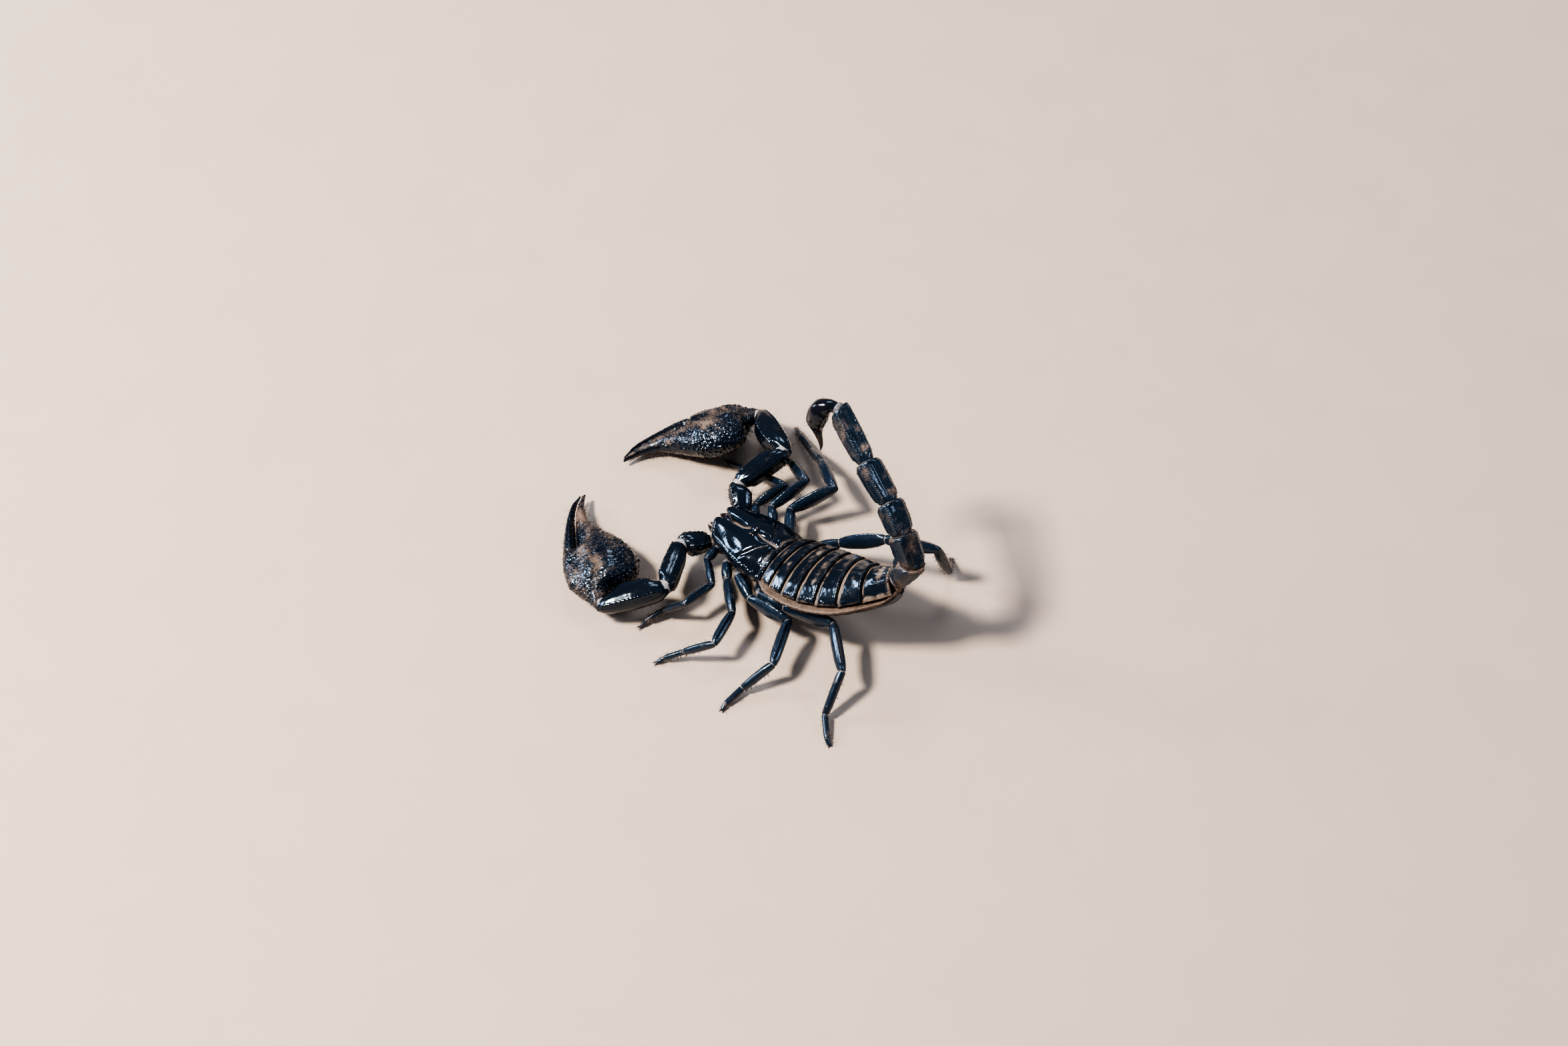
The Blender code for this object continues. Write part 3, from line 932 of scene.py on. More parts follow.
def segment(name: str, length: float, outline: Rows, sides: int, rings: int, levels: int) -> Tube:
    """A limb segment from a few named widths.

    Args:
        name: Name of the piece.
        length: Its length in millimetres.
        outline: Share along, half width and half height of each named ring.
        sides: Points round the cage.
        rings: Rings of the cage.
        levels: How often the cage is rounded.

    Returns:
        The tube, along +Z from 0 to its length.
    """
    share = 0.5 - 0.5 * np.cos(np.linspace(0.0, math.pi, rings)) * 0.6 \
        - 0.5 * np.linspace(1.0, -1.0, rings) * 0.4
    marks, wide, high = zip(*outline)
    rows = zip(share * length, glide(marks, wide, share), glide(marks, high, share))
    return Tube(Bench.loft(name, capped(rows), sides, levels), length)


def capped(outline: Rows, cup: float = 0.25) -> list[tuple[float, ...]]:
    """Adds sunken ends to an outline, so a segment ends in a lip round a shallow cup.

    Args:
        outline: The rows of the loft.
        cup: The cups' depth in millimetres.

    Returns:
        The rows with those of the cups.
    """
    swollen = [(z, w * RING_SWELL, h * RING_SWELL, x, y) for z, w, h, x, y in filled(outline)]
    lips = [[(z + way * cup * depth, w * size, h * size, x, y) for depth, size in ((1.0, 0.55), (0.2, 0.82))]
            for way, (z, w, h, x, y) in ((1.0, swollen[0]), (-1.0, swollen[-1]))]
    return lips[0] + swollen + lips[1][::-1]


# ---------------------------------------------------------------- body


@dataclass
class Back:
    """The line of the back behind the waist, and the plates' widths along it."""

    length: float = 35.0
    yaw: tuple[float, float] = (82.0, 110.0)
    pitch: tuple[float, float] = (10.0, 33.0)
    depth: float = 9.4
    plate_lengths: tuple[float, ...] = (2.5, 3.5, 4.1, 4.7, 5.2, 5.8, 7.4)
    half_widths: tuple[float, ...] = (8.4, 9.1, 9.5, 9.6, 9.2, 8.3, 6.4, 4.6)
    sag: float = 3.3

    def __post_init__(self) -> None:
        """Walks along the back in small steps and keeps the frames."""
        step = 0.1
        self.marks = np.arange(-4.0, 40.0 + step, step)
        share = self.marks / self.length
        yaw = np.radians(self.yaw[0] + (self.yaw[1] - self.yaw[0]) * share)
        pitch = np.radians(self.pitch[0] + (self.pitch[1] - self.pitch[0]) * share)
        flat = np.cos(pitch)
        self.along = np.stack([flat * np.cos(yaw), flat * np.sin(yaw), np.sin(pitch)], axis=1)
        steps = (self.along[1:] + self.along[:-1]) / 2 * step
        walk = np.concatenate([[np.zeros(3)], np.cumsum(steps, axis=0)])
        self.crown = walk - read_at(self.marks, walk, np.zeros(1)) + np.array(tuple(WAIST))
        left = np.cross(self.along, [0.0, 0.0, 1.0])
        self.left = left / np.linalg.norm(left, axis=1)[:, None]
        self.up = np.cross(self.left, self.along)

    def carry(self, lateral: Array, distance: Array, height: Array) -> Array:
        """Points from their place beside, behind and above the crown line."""
        crown, left, up = (read_at(self.marks, t, distance) for t in (self.crown, self.left, self.up))
        return crown + left * lateral[:, None] + up * height[:, None]

    def half_width(self, distance: Array) -> Array:
        """Half width of the back plates."""
        edges = np.concatenate([[0.0], np.cumsum(self.plate_lengths)])
        return glide(edges, self.half_widths, distance)

    def slimness(self, distance: Array) -> Array:
        """Share of the belly's depth left at a distance."""
        return 1.0 - 0.36 * (np.clip(distance, 0.0, None) / self.length) ** 3


def body_matrix() -> Matrix:
    """From the body's millimetres to the object's metres."""
    return Matrix.Translation(SHIFT * MM) @ Matrix.Scale(MM, 4)


def deepest(*layers: Array) -> Array:
    """The largest of some layers at each point."""
    return np.maximum.reduce(layers)


@dataclass
class Mesosoma:
    """The seven back plates, the soft sides, the belly plates and the combs."""

    back: Back
    wardrobe: Wardrobe
    first_plate: float = 0.5
    plate: float = 0.7
    belly_plate: float = 0.45
    belly_edges: tuple[float, ...] = (7.6, 13.2, 18.6, 23.6, 28.2, 34.4)
    bag: tuple[float, float] = (-1.6, 36.0)
    bag_middle: float = -4.6
    comb_distance: float = 3.2
    tooth: Rows = ((0.0, 0.16, 0.2), (0.3, 0.22, 0.26), (1.1, 0.24, 0.27), (1.6, 0.2, 0.22),
                   (1.85, 0.08, 0.1))
    bar: Rows = ((0.0, 0.3, 0.5), (0.4, 0.36, 0.72), (2.0, 0.34, 0.66), (3.8, 0.3, 0.5), (5.4, 0.22, 0.3),
                 (5.9, 0.12, 0.14))
    base: Rows = ((0.0, 0.5, 0.3), (0.5, 1.0, 0.42), (1.6, 1.25, 0.45), (2.2, 0.9, 0.36))
    flap: Rows = ((0.0, 0.5, 0.3), (0.6, 1.3, 0.42), (1.6, 1.5, 0.45), (2.5, 1.0, 0.36))

    def build(self) -> None:
        """Builds all pieces in order."""
        start = self.first_plate
        for number, length in enumerate(self.back.plate_lengths, 1):
            self.tergite(number, start, length)
            start += length
        self.skin()
        for number, (front, rear) in enumerate(zip(self.belly_edges, self.belly_edges[1:]), 3):
            self.sternite(number, front, rear)
        self.combs()

    def tergite(self, number: int, start: float, length: float) -> None:
        """One back plate: a sunk dusty front strip, a glossy field with dents, and a rolled rear rim.

        Args:
            number: 1 at the waist to 7 at the tail.
            start: Where it starts behind the waist.
            length: Its length.
        """
        obj, u, v = Bench.sheet("back_plate_%d" % number, 132, 44)
        wide, last = np.abs(u), number == len(self.back.plate_lengths)
        lead = 0.0 if number == 1 else 0.25
        distance = start + lead + (length - lead + 0.12) * v
        width = self.back.half_width(distance)
        strip = 0.1 if last else 0.2
        z = -self.back.sag * wide ** 2.2 + 0.34 * v + 0.1
        z -= 0.3 * ease(v, strip, strip * 0.35)
        z += 0.16 * bell(v, 0.93, 0.06) * ease(wide, 1.0, 0.9)
        z += 0.14 * bell(u, 0.0, 0.05) * ease(v, 0.2, 0.45)
        z -= 0.18 * bell(wide, 0.42, 0.13) * bell(v, 0.55, 0.22)
        if last:
            z += 0.3 * (bell(wide, 0.5, 0.05) + bell(wide, 0.24, 0.05)) * ease(v, 0.25, 0.6)
        place = np.stack([u * width, distance, z], axis=1)
        z += 0.05 * waves(place, 3.0, 40 + number) + 0.012 * waves(place, 1.1, 50 + number)
        z -= 0.35 * roll_off((1.0 - wide) * width, 0.5) + 0.4 * roll_off((1.0 - v) * length, 0.35)
        move_points(obj, self.back.carry(u * width, distance, z))
        rough = (wide > 0.9) | ((v > 0.88) & (wide > 0.3))
        Granules(0.62, 0.2, 0.07, 60 + number).emboss(obj, rough & (v > strip), rough)
        blot = waves(place, 5.0, 70 + number)
        spread = (0.3 if number < 5 else 0.2) + 0.26 * blot
        dust = deepest((0.52 + 0.2 * blot) * ease(v, strip * 1.3, strip * 0.4),
                       spread * bell(v, 0.6, 0.22) * ease(wide, 0.8, 0.4),
                       0.36 * ease(wide, 0.93, 1.0), 0.2 * ease(v, 0.93, 1.0))
        if last:
            dust = deepest(dust, 0.6 * ease(wide, 0.8, 0.95), 0.5 * ease(v, 0.86, 0.97))
        note(obj, dust + 0.06)
        Bench.apply(obj, "SOLIDIFY", thickness=self.plate, offset=-1.0)
        hand_over(obj, self.wardrobe.shell, ["tergite_%d" % number], body_matrix())

    def skin(self) -> None:
        """The soft abdomen: one bag with folds along its flanks."""
        obj = Bench.loft("abdomen_skin", [(share, 1.0, 1.0) for share in np.linspace(0.0, 1.0, 46)], 64, 1)
        raw = points_of(obj)
        share = np.clip(raw[:, 2], 0.0, 1.0)
        distance = self.bag[0] + (self.bag[1] - self.bag[0]) * share
        turn = np.degrees(np.arctan2(raw[:, 1], raw[:, 0]))
        reach = np.hypot(raw[:, 0], raw[:, 1])
        half = np.abs(turn_gap(turn, 90.0)) / 180.0
        lateral, height = self.contour(distance, half)
        shrink = (0.86 + 0.14 * ease(share, 0.0, 0.1)) * np.clip(reach, 0.0, 1.0)
        lateral = -lateral * np.sign(np.cos(np.radians(turn)) + 1e-9) * shrink
        height = self.bag_middle + (height - self.bag_middle) * shrink
        flank = bell(half, 0.53, 0.1)
        place = np.stack([lateral, distance, height], axis=1)
        fold = np.sin(distance * 5.2 + 1.4 * waves(place, 3.0, 7)) * 0.11
        fold = fold + 0.09 * waves(place, 1.5, 8) + 0.06 * np.sin(height * 6.0 + waves(place, 2.4, 9))
        move_points(obj, self.back.carry(lateral, distance, height))
        move_points(obj, points_of(obj) + points_of(obj, "normal") * (fold * flank)[:, None])
        # Painted shade: the skin darkens under the belly and along the crown, where the back plates cover it.
        store(obj, "dust", 0.25 * ease(half, 0.6, 0.75) + 0.1 * ease(half, 0.5, 0.45))
        hand_over(obj, self.wardrobe.skin, ["abdomen_membrane"], body_matrix())

    def contour(self, distance: Array, half: Array) -> tuple[Array, Array]:
        """Outline of the soft body, closing towards the tail's root.

        Args:
            distance: Millimetres behind the waist.
            half: Place round the outline, 0 on the crown and 1 under the belly.

        Returns:
            The outline's half width and its height against the crown line.
        """
        width, slim = self.back.half_width(distance), self.back.slimness(distance)
        still = np.zeros_like(width)
        x = [still, width * 0.5, width - 0.8, width + 1.15, width + 0.75, width * 0.81, width * 0.57, still]
        y = [still - 1.2, still - 1.7, still - 4.6, -4.95 * slim, -6.1 * slim, -7.6 * slim,
             -self.back.depth * slim, -(self.back.depth + 0.2) * slim]
        knots = np.array([0.0, 0.2, 0.4, 0.5, 0.57, 0.7, 0.82, 1.0])
        lateral, height = smooth(knots, np.stack(x, axis=1), half), smooth(knots, np.stack(y, axis=1), half)
        rear = np.clip((distance - 29.5) / 6.4, 0.0, 1.0)
        ends = np.sqrt(1.0 - 0.9 * rear ** 2.4)
        middle = -5.2 * slim + 1.4 * rear
        return lateral * ends, middle + (height - middle) * ends

    def sternite(self, number: int, front: float, rear: float) -> None:
        """One smooth belly plate with a pair of breathing slits, the last one with four keels.

        Args:
            number: 3 in front to 7 at the tail.
            front: Where it starts behind the waist.
            rear: Where it ends behind the waist.
        """
        obj, u, v = Bench.sheet("belly_plate_%d" % number, 90, 30)
        wide, sign = np.abs(u), -np.sign(u)
        distance = front + 0.1 + (rear - front - 0.15) * v
        lateral, z = self.contour(distance, 1.0 - 0.37 * wide)
        lateral = (lateral + 0.35 * ease(wide, 0.3, 0.8)) * sign
        z -= 0.45 + 0.45 * (1.0 - wide ** 2.4)
        roll = 0.3 * roll_off((1.0 - v) * (rear - front), 0.4) + 0.25 * roll_off((1.0 - wide) * 9.0, 0.6)
        if number < 7:
            roll += 0.4 * bell(wide, 0.5, 0.1) * bell(v - 0.3 * (wide - 0.5), 0.55, 0.06)
        else:
            roll -= 0.25 * (bell(wide, 0.45, 0.04) + bell(wide, 0.16, 0.04)) * ease(v, 0.1, 0.5)
        z += roll
        lateral -= roll * ease(wide, 0.4, 0.9) * sign
        move_points(obj, self.back.carry(lateral, distance, z))
        note(obj, 0.5 * ease(v, 0.12, 0.0) + 0.3 * ease(wide, 0.85, 1.0) + 0.12, 0.12)
        Bench.apply(obj, "SOLIDIFY", thickness=self.belly_plate, offset=-1.0)
        hand_over(obj, self.wardrobe.leg, ["sternite_%d" % number], body_matrix())

    def combs(self) -> None:
        """The two combs, each a jointed bar with a row of blunt teeth, on their base plate."""
        tooth = Bench.loft("comb_tooth", self.tooth, 8, 1)
        here = np.array([self.comb_distance])
        root = Vector(self.back.carry(np.zeros(1), here, np.array([-(self.back.depth + 1.05)]))[0])
        tables = (self.back.left, self.back.along)
        left, along = (Vector(read_at(self.back.marks, table, here)[0]) for table in tables)
        up = left.cross(along)
        parts = []
        for side in Side:
            out = left * side.sign
            reach = (out * 0.93 + along * 0.36).normalized()
            rear = (along * 0.93 - out * 0.36).normalized()
            start = root + out * 0.7
            bar = Bench.loft("comb_bar", capped(self.bar, 0.1), 12, 2)
            tube = Tube(bar, 5.9)
            tube.push(-0.06 * bell((tube.share * 7.0) % 1.0, 0.5, 0.12))
            across = up.cross(reach).normalized()
            Bench.settle(bar, Place(start, across.cross(reach).normalized(), across, reach).matrix())
            parts.append(bar)
            way = (rear + reach * 0.12).normalized()
            for i in range(13):
                copy = Bench.twin(tooth, "comb_tooth_copy")
                base = start + reach * (0.35 + i * 0.41) + rear * (0.35 - 0.012 * i)
                spot = Place(base, up.cross(way).normalized(), up, way)
                Bench.settle(copy, spot.matrix(0.8, 0.9, 0.75 if i < 11 else 0.6))
                parts.append(copy)
        across = up.cross(along).normalized()
        plan = (("comb_base", self.base, 12, 0.0, 0.9, 0.0), ("belly_flap", self.flap, 14, 1.15, 3.1, 0.1),
                ("belly_flap", self.flap, 14, -1.15, 3.1, 0.1))
        for name, rows, sides, aside, ahead, rise in plan:
            plate = Bench.loft(name, capped(rows, 0.1), sides, 2)
            spot = root + left * aside - along * ahead + up * rise
            Bench.settle(plate, Place(spot, across, up, along).matrix())
            parts.append(plate)
        bpy.data.objects.remove(tooth)
        piece = Bench.weld(parts, "combs")
        store(piece, "dust", 0.0)
        hand_over(piece, self.wardrobe.comb, ["pectines"])


@dataclass
class Prosoma:
    """The head shield with its eyes, the jaws, and the leg bases with the breastplate below."""

    wardrobe: Wardrobe
    yaw: float = 262.0
    pitch: float = 9.0
    length: float = 20.6
    sag: float = 5.2
    marks: tuple[float, ...] = (0.0, 0.14, 0.34, 0.56, 0.76, 0.9, 1.0)
    half_widths: tuple[float, ...] = (8.6, 9.1, 9.1, 8.5, 7.4, 6.7, 5.9)
    lobe: float = 2.4
    cleft: float = 3.6
    furrow: float = 0.9
    eye_ahead: float = 9.6
    eye_aside: float = 1.15
    eye_radius: float = 0.55
    jaw_aside: float = 2.05
    jaw_drop: float = 5.6
    plate: float = 0.9
    bead_outline: Rows = ((-0.5, 1.15, 1.15), (0.05, 1.32, 1.32), (0.28, 1.26, 1.26), (0.33, 1.08, 1.08),
                          (0.3, 0.98, 0.98), (0.62, 0.9, 0.9), (0.9, 0.66, 0.66), (1.04, 0.3, 0.3))
    side_eyes: Rows = ((5.75, 18.35, 0.3), (6.05, 17.5, 0.3), (6.2, 16.7, 0.24))
    jaw_base: Rows = ((16.6, 1.5, 1.3), (17.6, 1.85, 1.7), (19.4, 1.98, 1.9), (20.9, 1.92, 1.8),
                      (21.8, 1.6, 1.45), (22.2, 1.1, 1.0))
    jaw_tooth: Rows = ((-0.2, 0.24, 0.24), (0.25, 0.2, 0.2), (0.5, 0.06, 0.06))
    jaw_fixed: Rows = ((21.0, 0.8, 0.85, 0.85), (22.2, 0.72, 0.8, 1.05), (23.4, 0.5, 0.6, 0.85),
                       (24.3, 0.26, 0.34, 0.45), (24.8, 0.08, 0.1, 0.15))
    jaw_movable: Rows = ((21.0, 0.85, 0.9, -0.65), (22.1, 0.66, 0.75, -0.8), (23.2, 0.42, 0.5, -0.68),
                         (24.0, 0.2, 0.26, -0.38), (24.4, 0.07, 0.09, -0.15))
    breast_rows: Rows = ((0.6, 6.6, 2.6, 5.6), (5.0, 7.1, 2.4, 6.2), (11.0, 6.6, 2.7, 6.0),
                         (15.5, 4.9, 3.6, 4.9), (17.4, 3.6, 4.2, 4.0))
    leg_base_ends: Rows = ((3.3, 1.3, 5.7, -1.2, 9.1, 7.3, 1.5), (6.4, 1.5, 5.4, 6.0, 9.3, 8.0, 1.5),
                           (10.0, 1.2, 5.0, 11.0, 8.4, 7.6, 1.35), (12.6, 1.1, 4.9, 16.0, 6.8, 7.4, 1.2),
                           (13.6, 2.6, 5.4, 19.0, 5.7, 6.8, 2.1))
    leg_base: Rows = ((0.0, 0.72, 0.8), (0.2, 1.0, 0.95), (0.6, 1.1, 1.05), (0.9, 1.02, 1.08),
                      (1.0, 0.85, 0.95))
    mouth_lobe: Rows = ((0.0, 0.7, 0.7), (1.4, 0.95, 0.8), (3.6, 0.85, 0.7), (5.2, 0.4, 0.4))
    breastplate: Rows = ((0.0, 1.1, 1.8), (0.5, 1.35, 2.1), (0.8, 1.3, 2.0), (1.0, 0.9, 1.5),
                         (0.92, 0.3, 0.5))

    def __post_init__(self) -> None:
        """Works out the head's frame."""
        ahead = heading(self.yaw, -self.pitch)
        left = UP.cross(ahead).normalized()
        self.place = Place(WAIST, left, ahead.cross(left).normalized(), ahead)

    def floor_place(self, forward: float, leftward: float, height: float) -> Vector:
        """A point by its distance ahead of the waist, beside the midline and above the floor."""
        flat = heading(self.yaw, 0.0)
        return UP * height + flat * forward + UP.cross(flat) * leftward

    def shape(self, u: Array, v: Array) -> tuple[Array, Array, Array]:
        """The shield's surface.

        Args:
            u: Share across, -1 to 1 and positive on the left.
            v: Share along, 0 at the waist and 1 in front.

        Returns:
            Left, up and ahead in the head's frame, in millimetres.
        """
        wide = np.abs(u)
        width = glide(self.marks, self.half_widths, v)
        reach = self.length - 1.2 + self.lobe * (1.0 - wide ** 2.2) - self.cleft * bell(u, 0.0, 0.2)
        ahead = 0.2 + v * reach
        side = u * width
        knob = np.exp(-((ahead - self.eye_ahead - 0.2) / 2.3) ** 2 - (side / 1.75) ** 2)
        drop = self.sag * wide ** 2.3 * (1.0 - 0.45 * v) + v ** 4
        drop += self.furrow * bell(u, 0.0, 0.11) * (0.5 + v) * (1.0 - knob)
        drop += 0.34 * bell(u, 0.0, 0.035) * ease(v, 0.04, 0.14)
        drop -= 0.75 * knob
        drop -= 0.4 * bell(wide, 0.42, 0.22) * bell(v, 0.82, 0.16)
        drop += 0.5 * bell(v - self.rear_furrow(wide), 0.0, 0.032) * plateau(wide, 0.05, 0.16, 0.6, 0.9)
        drop += 0.3 * bell(v, 0.075, 0.03) * ease(wide, 1.0, 0.85)
        drop += 0.3 * bell(wide, 0.6, 0.12) * bell(v, 0.56, 0.12)
        drop -= 0.22 * bell(wide, 0.72, 0.12) * bell(v, 0.33, 0.1)
        return side, -drop, ahead

    @staticmethod
    def rear_furrow(wide: Array) -> Array:
        """Where along the shield its curved rear furrows run, by the share away from the midline."""
        return 0.17 + 0.32 * wide ** 1.3

    def build(self) -> None:
        """Builds all pieces in order."""
        self.shield()
        for make in (self.eyes, self.jaw):
            for side in Side:
                make(side)
        self.breast()
        self.coxae()

    def shield(self) -> None:
        """The carapace: two front lobes, a furrow along it, a knob for the eyes and curved rear furrows."""
        obj, u, v = Bench.sheet("head_shield", 180, 170)
        wide = np.abs(u)
        side, height, ahead = self.shape(-u, v)
        spot = np.stack([side, height, ahead], axis=1)
        height = height + 0.035 * waves(spot, 3.4, 3) + 0.008 * waves(spot, 1.1, 4)
        rim = np.minimum((1.0 - wide) * glide(self.marks, self.half_widths, v), (1.0 - v) * self.length)
        height += 0.12 * bell(rim, 0.75, 0.28) - 0.45 * roll_off(rim, 0.45)
        move_points(obj, np.stack([side, height, ahead], axis=1))
        rough = (wide > 0.86) | ((wide > 0.55) & (v > 0.93)) | ((v < 0.1) & (wide > 0.5))
        Granules(0.58, 0.22, 0.08, 5).emboss(obj, rough, rough)
        blot = 1.0 + 0.3 * waves(spot, 3.0, 6)
        middle = 0.68 * bell(u, 0.0, 0.06) * plateau(v, 0.03, 0.1, 0.9, 1.05) * blot
        dust = deepest(middle * (1.0 - 0.8 * bell(ahead, self.eye_ahead + 0.2, 1.9)),
                       0.3 * bell(v - self.rear_furrow(wide), 0.0, 0.03) * ease(wide, 0.9, 0.5) * blot,
                       0.36 * bell(v, 0.05, 0.04) * blot, 0.36 * ease(wide, 0.9, 1.0),
                       0.2 * bell(wide, 0.6, 0.16) * bell(v, 0.55, 0.16))
        note(obj, dust + 0.05)
        Bench.apply(obj, "SOLIDIFY", thickness=self.plate, offset=-1.0)
        hand_over(obj, self.wardrobe.head, ["carapace"], self.place.matrix())

    def bead(self, name: str, side: float, ahead: float, radius: float, tilt: float) -> Piece:
        """One eye: a domed bead in a low rim, seated on the shield.

        Args:
            name: Name of the piece.
            side: Millimetres left of the midline.
            ahead: Millimetres ahead of the waist.
            radius: The bead's radius.
            tilt: How far it leans to the left.

        Returns:
            The bead in its place.
        """
        width = float(glide(self.marks, self.half_widths, np.array([ahead / 20.0]))[0])
        _, height, reach = self.shape(np.array([side / width]), np.array([ahead / 20.4]))
        base = self.place.point(side, float(height[0]) - radius * 0.25, float(reach[0]))
        obj = Bench.loft(name, np.array(self.bead_outline) * radius, 16, 2)
        out = (self.place.up + self.place.across * tilt).normalized()
        Bench.settle(obj, Place.on(base, out).matrix())
        return obj

    def eyes(self, side: Side) -> None:
        """One main eye beside the furrow and three small ones at the front corner.

        Args:
            side: Which side they are on.
        """
        sign = side.sign
        parts = [self.bead("main_eye", sign * self.eye_aside, self.eye_ahead, self.eye_radius, sign * 0.55)]
        for i, (aside, ahead, radius) in enumerate(self.side_eyes):
            parts.append(self.bead("side_eye_%d" % i, sign * aside, ahead, radius, sign * 0.9))
        piece = Bench.weld(parts, "eyes_" + side.value)
        hand_over(piece, self.wardrobe.eye, ["median_eye_" + side.value])

    def jaw(self, side: Side) -> None:
        """One jaw: a swollen base, a fixed and a movable finger, and blunt teeth between them.

        Args:
            side: Which side it is on.
        """
        sign = side.sign
        seat = replace(self.place, origin=self.place.point(sign * self.jaw_aside, -self.jaw_drop, 0.0))
        base = Bench.loft("jaw_base", capped(self.jaw_base), 16, 2)
        tube = Tube(base, 22.2)
        tube.push(0.05 * waves(tube.points, 1.6, 12))
        note(base, 0.12 + 0.2 * ease(tube.share, 0.96, 0.8), 0.25 * ease(tube.points[:, 2], 20.5, 22.0))
        shafts, teeth = [base], []
        for rows, drop in ((self.jaw_fixed, -0.35), (self.jaw_movable, 0.3)):
            finger = Bench.loft("jaw_finger", [(z, w, h, sign * x, drop) for z, w, h, x in rows], 12, 2)
            part = Tube(finger, 24.8)
            note(finger, 0.1, ease(part.points[:, 2], 21.6, 23.2))
            shafts.append(finger)
            way = -1.0 if rows is self.jaw_fixed else 1.0
            marks, wide, _, aside = zip(*rows)
            edge = np.abs(aside) - np.array(wide) * 0.8
            for ahead in (22.3, 23.0, 23.7):
                tooth = Bench.loft("jaw_tooth", self.jaw_tooth, 8, 1)
                note(tooth, 0.0, 1.0)
                spot = seat.point(-sign * way * float(np.interp(ahead, marks, edge)), drop, ahead)
                out = seat.across * (sign * way)
                Bench.settle(tooth, Place(spot, out.cross(seat.along), seat.along, out).matrix())
                teeth.append(tooth)
        for part in shafts:
            Bench.settle(part, seat.matrix())
        piece = Bench.weld(shafts + teeth, "jaw_" + side.value)
        hand_over(piece, self.wardrobe.head, ["chelicera_" + side.value])

    def breast(self) -> None:
        """The soft body between the shield and the leg bases."""
        rows = [(z, w, depth / 2.0, 0.0, -(cover + depth / 2.0)) for z, w, cover, depth in self.breast_rows]
        obj = Bench.loft("breast_skin", capped(rows, 0.4), 24, 3)
        tube = Tube(obj, 17.4)
        fold = np.sin(tube.points[:, 1] * 4.0 + waves(tube.points, 3.0, 21))
        tube.push(0.18 * fold + 0.1 * waves(tube.points, 1.6, 22))
        # Painted shade: the whole skin under the head shield is darkened.
        store(obj, "dust", 0.45)
        hand_over(obj, self.wardrobe.skin, ["cephalothorax_underside"], self.place.matrix())

    def coxae(self) -> None:
        """The fixed leg bases fanned round a small breastplate, and the lobes under the mouth."""
        master = segment("leg_base", 8.0, self.leg_base, 14, 10, 2)
        parts = []
        for side in Side:
            for number, (f0, l0, h0, f1, l1, h1, size) in enumerate(self.leg_base_ends):
                start = self.floor_place(f0, side.sign * l0, h0)
                end = self.floor_place(f1, side.sign * l1, h1)
                length = (end - start).length
                tube = Tube(Bench.twin(master.obj, "leg_base_copy"), master.length)
                points = tube.points * np.array([size, size, length / master.length])
                tube.move(points + 0.06 * waves(points, 2.2, 30 + number)[:, None] * tube.normals)
                note(tube.obj, 0.18 + 0.2 * ease(tube.share, 0.75, 1.0), 0.1)
                Bench.settle(tube.obj, Place.on(start, (end - start).normalized()).matrix())
                parts.append(tube.obj)
            lobe = Bench.loft("mouth_lobe", capped(self.mouth_lobe), 12, 2)
            note(lobe, 0.2, 0.4)
            start = self.floor_place(10.6, side.sign * 0.85, 4.7)
            Bench.settle(lobe, Place.on(start, heading(self.yaw, -3.0)).matrix())
            parts.append(lobe)
        bpy.data.objects.remove(master.obj)
        plate = Bench.loft("breastplate", self.breastplate, 10, 2)
        note(plate, 0.15, 0.1)
        across, back = self.place.across, -self.place.along
        Bench.settle(plate, Place(self.floor_place(5.0, 0.0, 5.2), across, back, across.cross(back)).matrix())
        parts.append(plate)
        piece = Bench.weld(parts, "leg_bases")
        hand_over(piece, self.wardrobe.leg, ["cephalothorax_underside"])


# ---------------------------------------------------------------- limbs and tail


@dataclass
class Chain:
    """Straight segments end to end, with the plane that halves each bend."""

    root: Vector
    poses: Rows
    lengths: Sequence[float]

    def __post_init__(self) -> None:
        """Works out the joints, directions and planes."""
        self.ways = [heading(*pose) for pose in self.poses]
        self.joints = [self.root]
        for way, length in zip(self.ways, self.lengths):
            self.joints.append(self.joints[-1] + way * length)
        self.planes = [self.ways[0]]
        self.planes += [(a + b).normalized() for a, b in zip(self.ways, self.ways[1:])]
        self.planes.append(self.ways[-1])

    def place(self, index: int, roll: float = 0.0) -> Place:
        """The frame of one segment."""
        return Place.on(self.joints[index], self.ways[index], roll)

    def seat(self, index: int, tube: Tube, gap: float) -> Matrix:
        """Shortens a segment's tube at both ends and leans them onto the bends' halving planes.

        Args:
            index: The segment's number.
            tube: The tube, still straight.
            gap: Room left at each end.

        Returns:
            The matrix that puts the tube in its place.
        """
        place = self.place(index)
        z = gap + tube.points[:, 2] * (tube.length - 2.0 * gap) / tube.length
        for plane, low, high in ((self.planes[index], 0.45, 0.0), (self.planes[index + 1], 0.55, 1.0)):
            z = z + tube.lean(place, plane, 0.3, 0.25 * tube.length) * ease(tube.share, low, high)
        tube.move(np.column_stack([tube.points[:, :2], z]))
        return place.matrix()


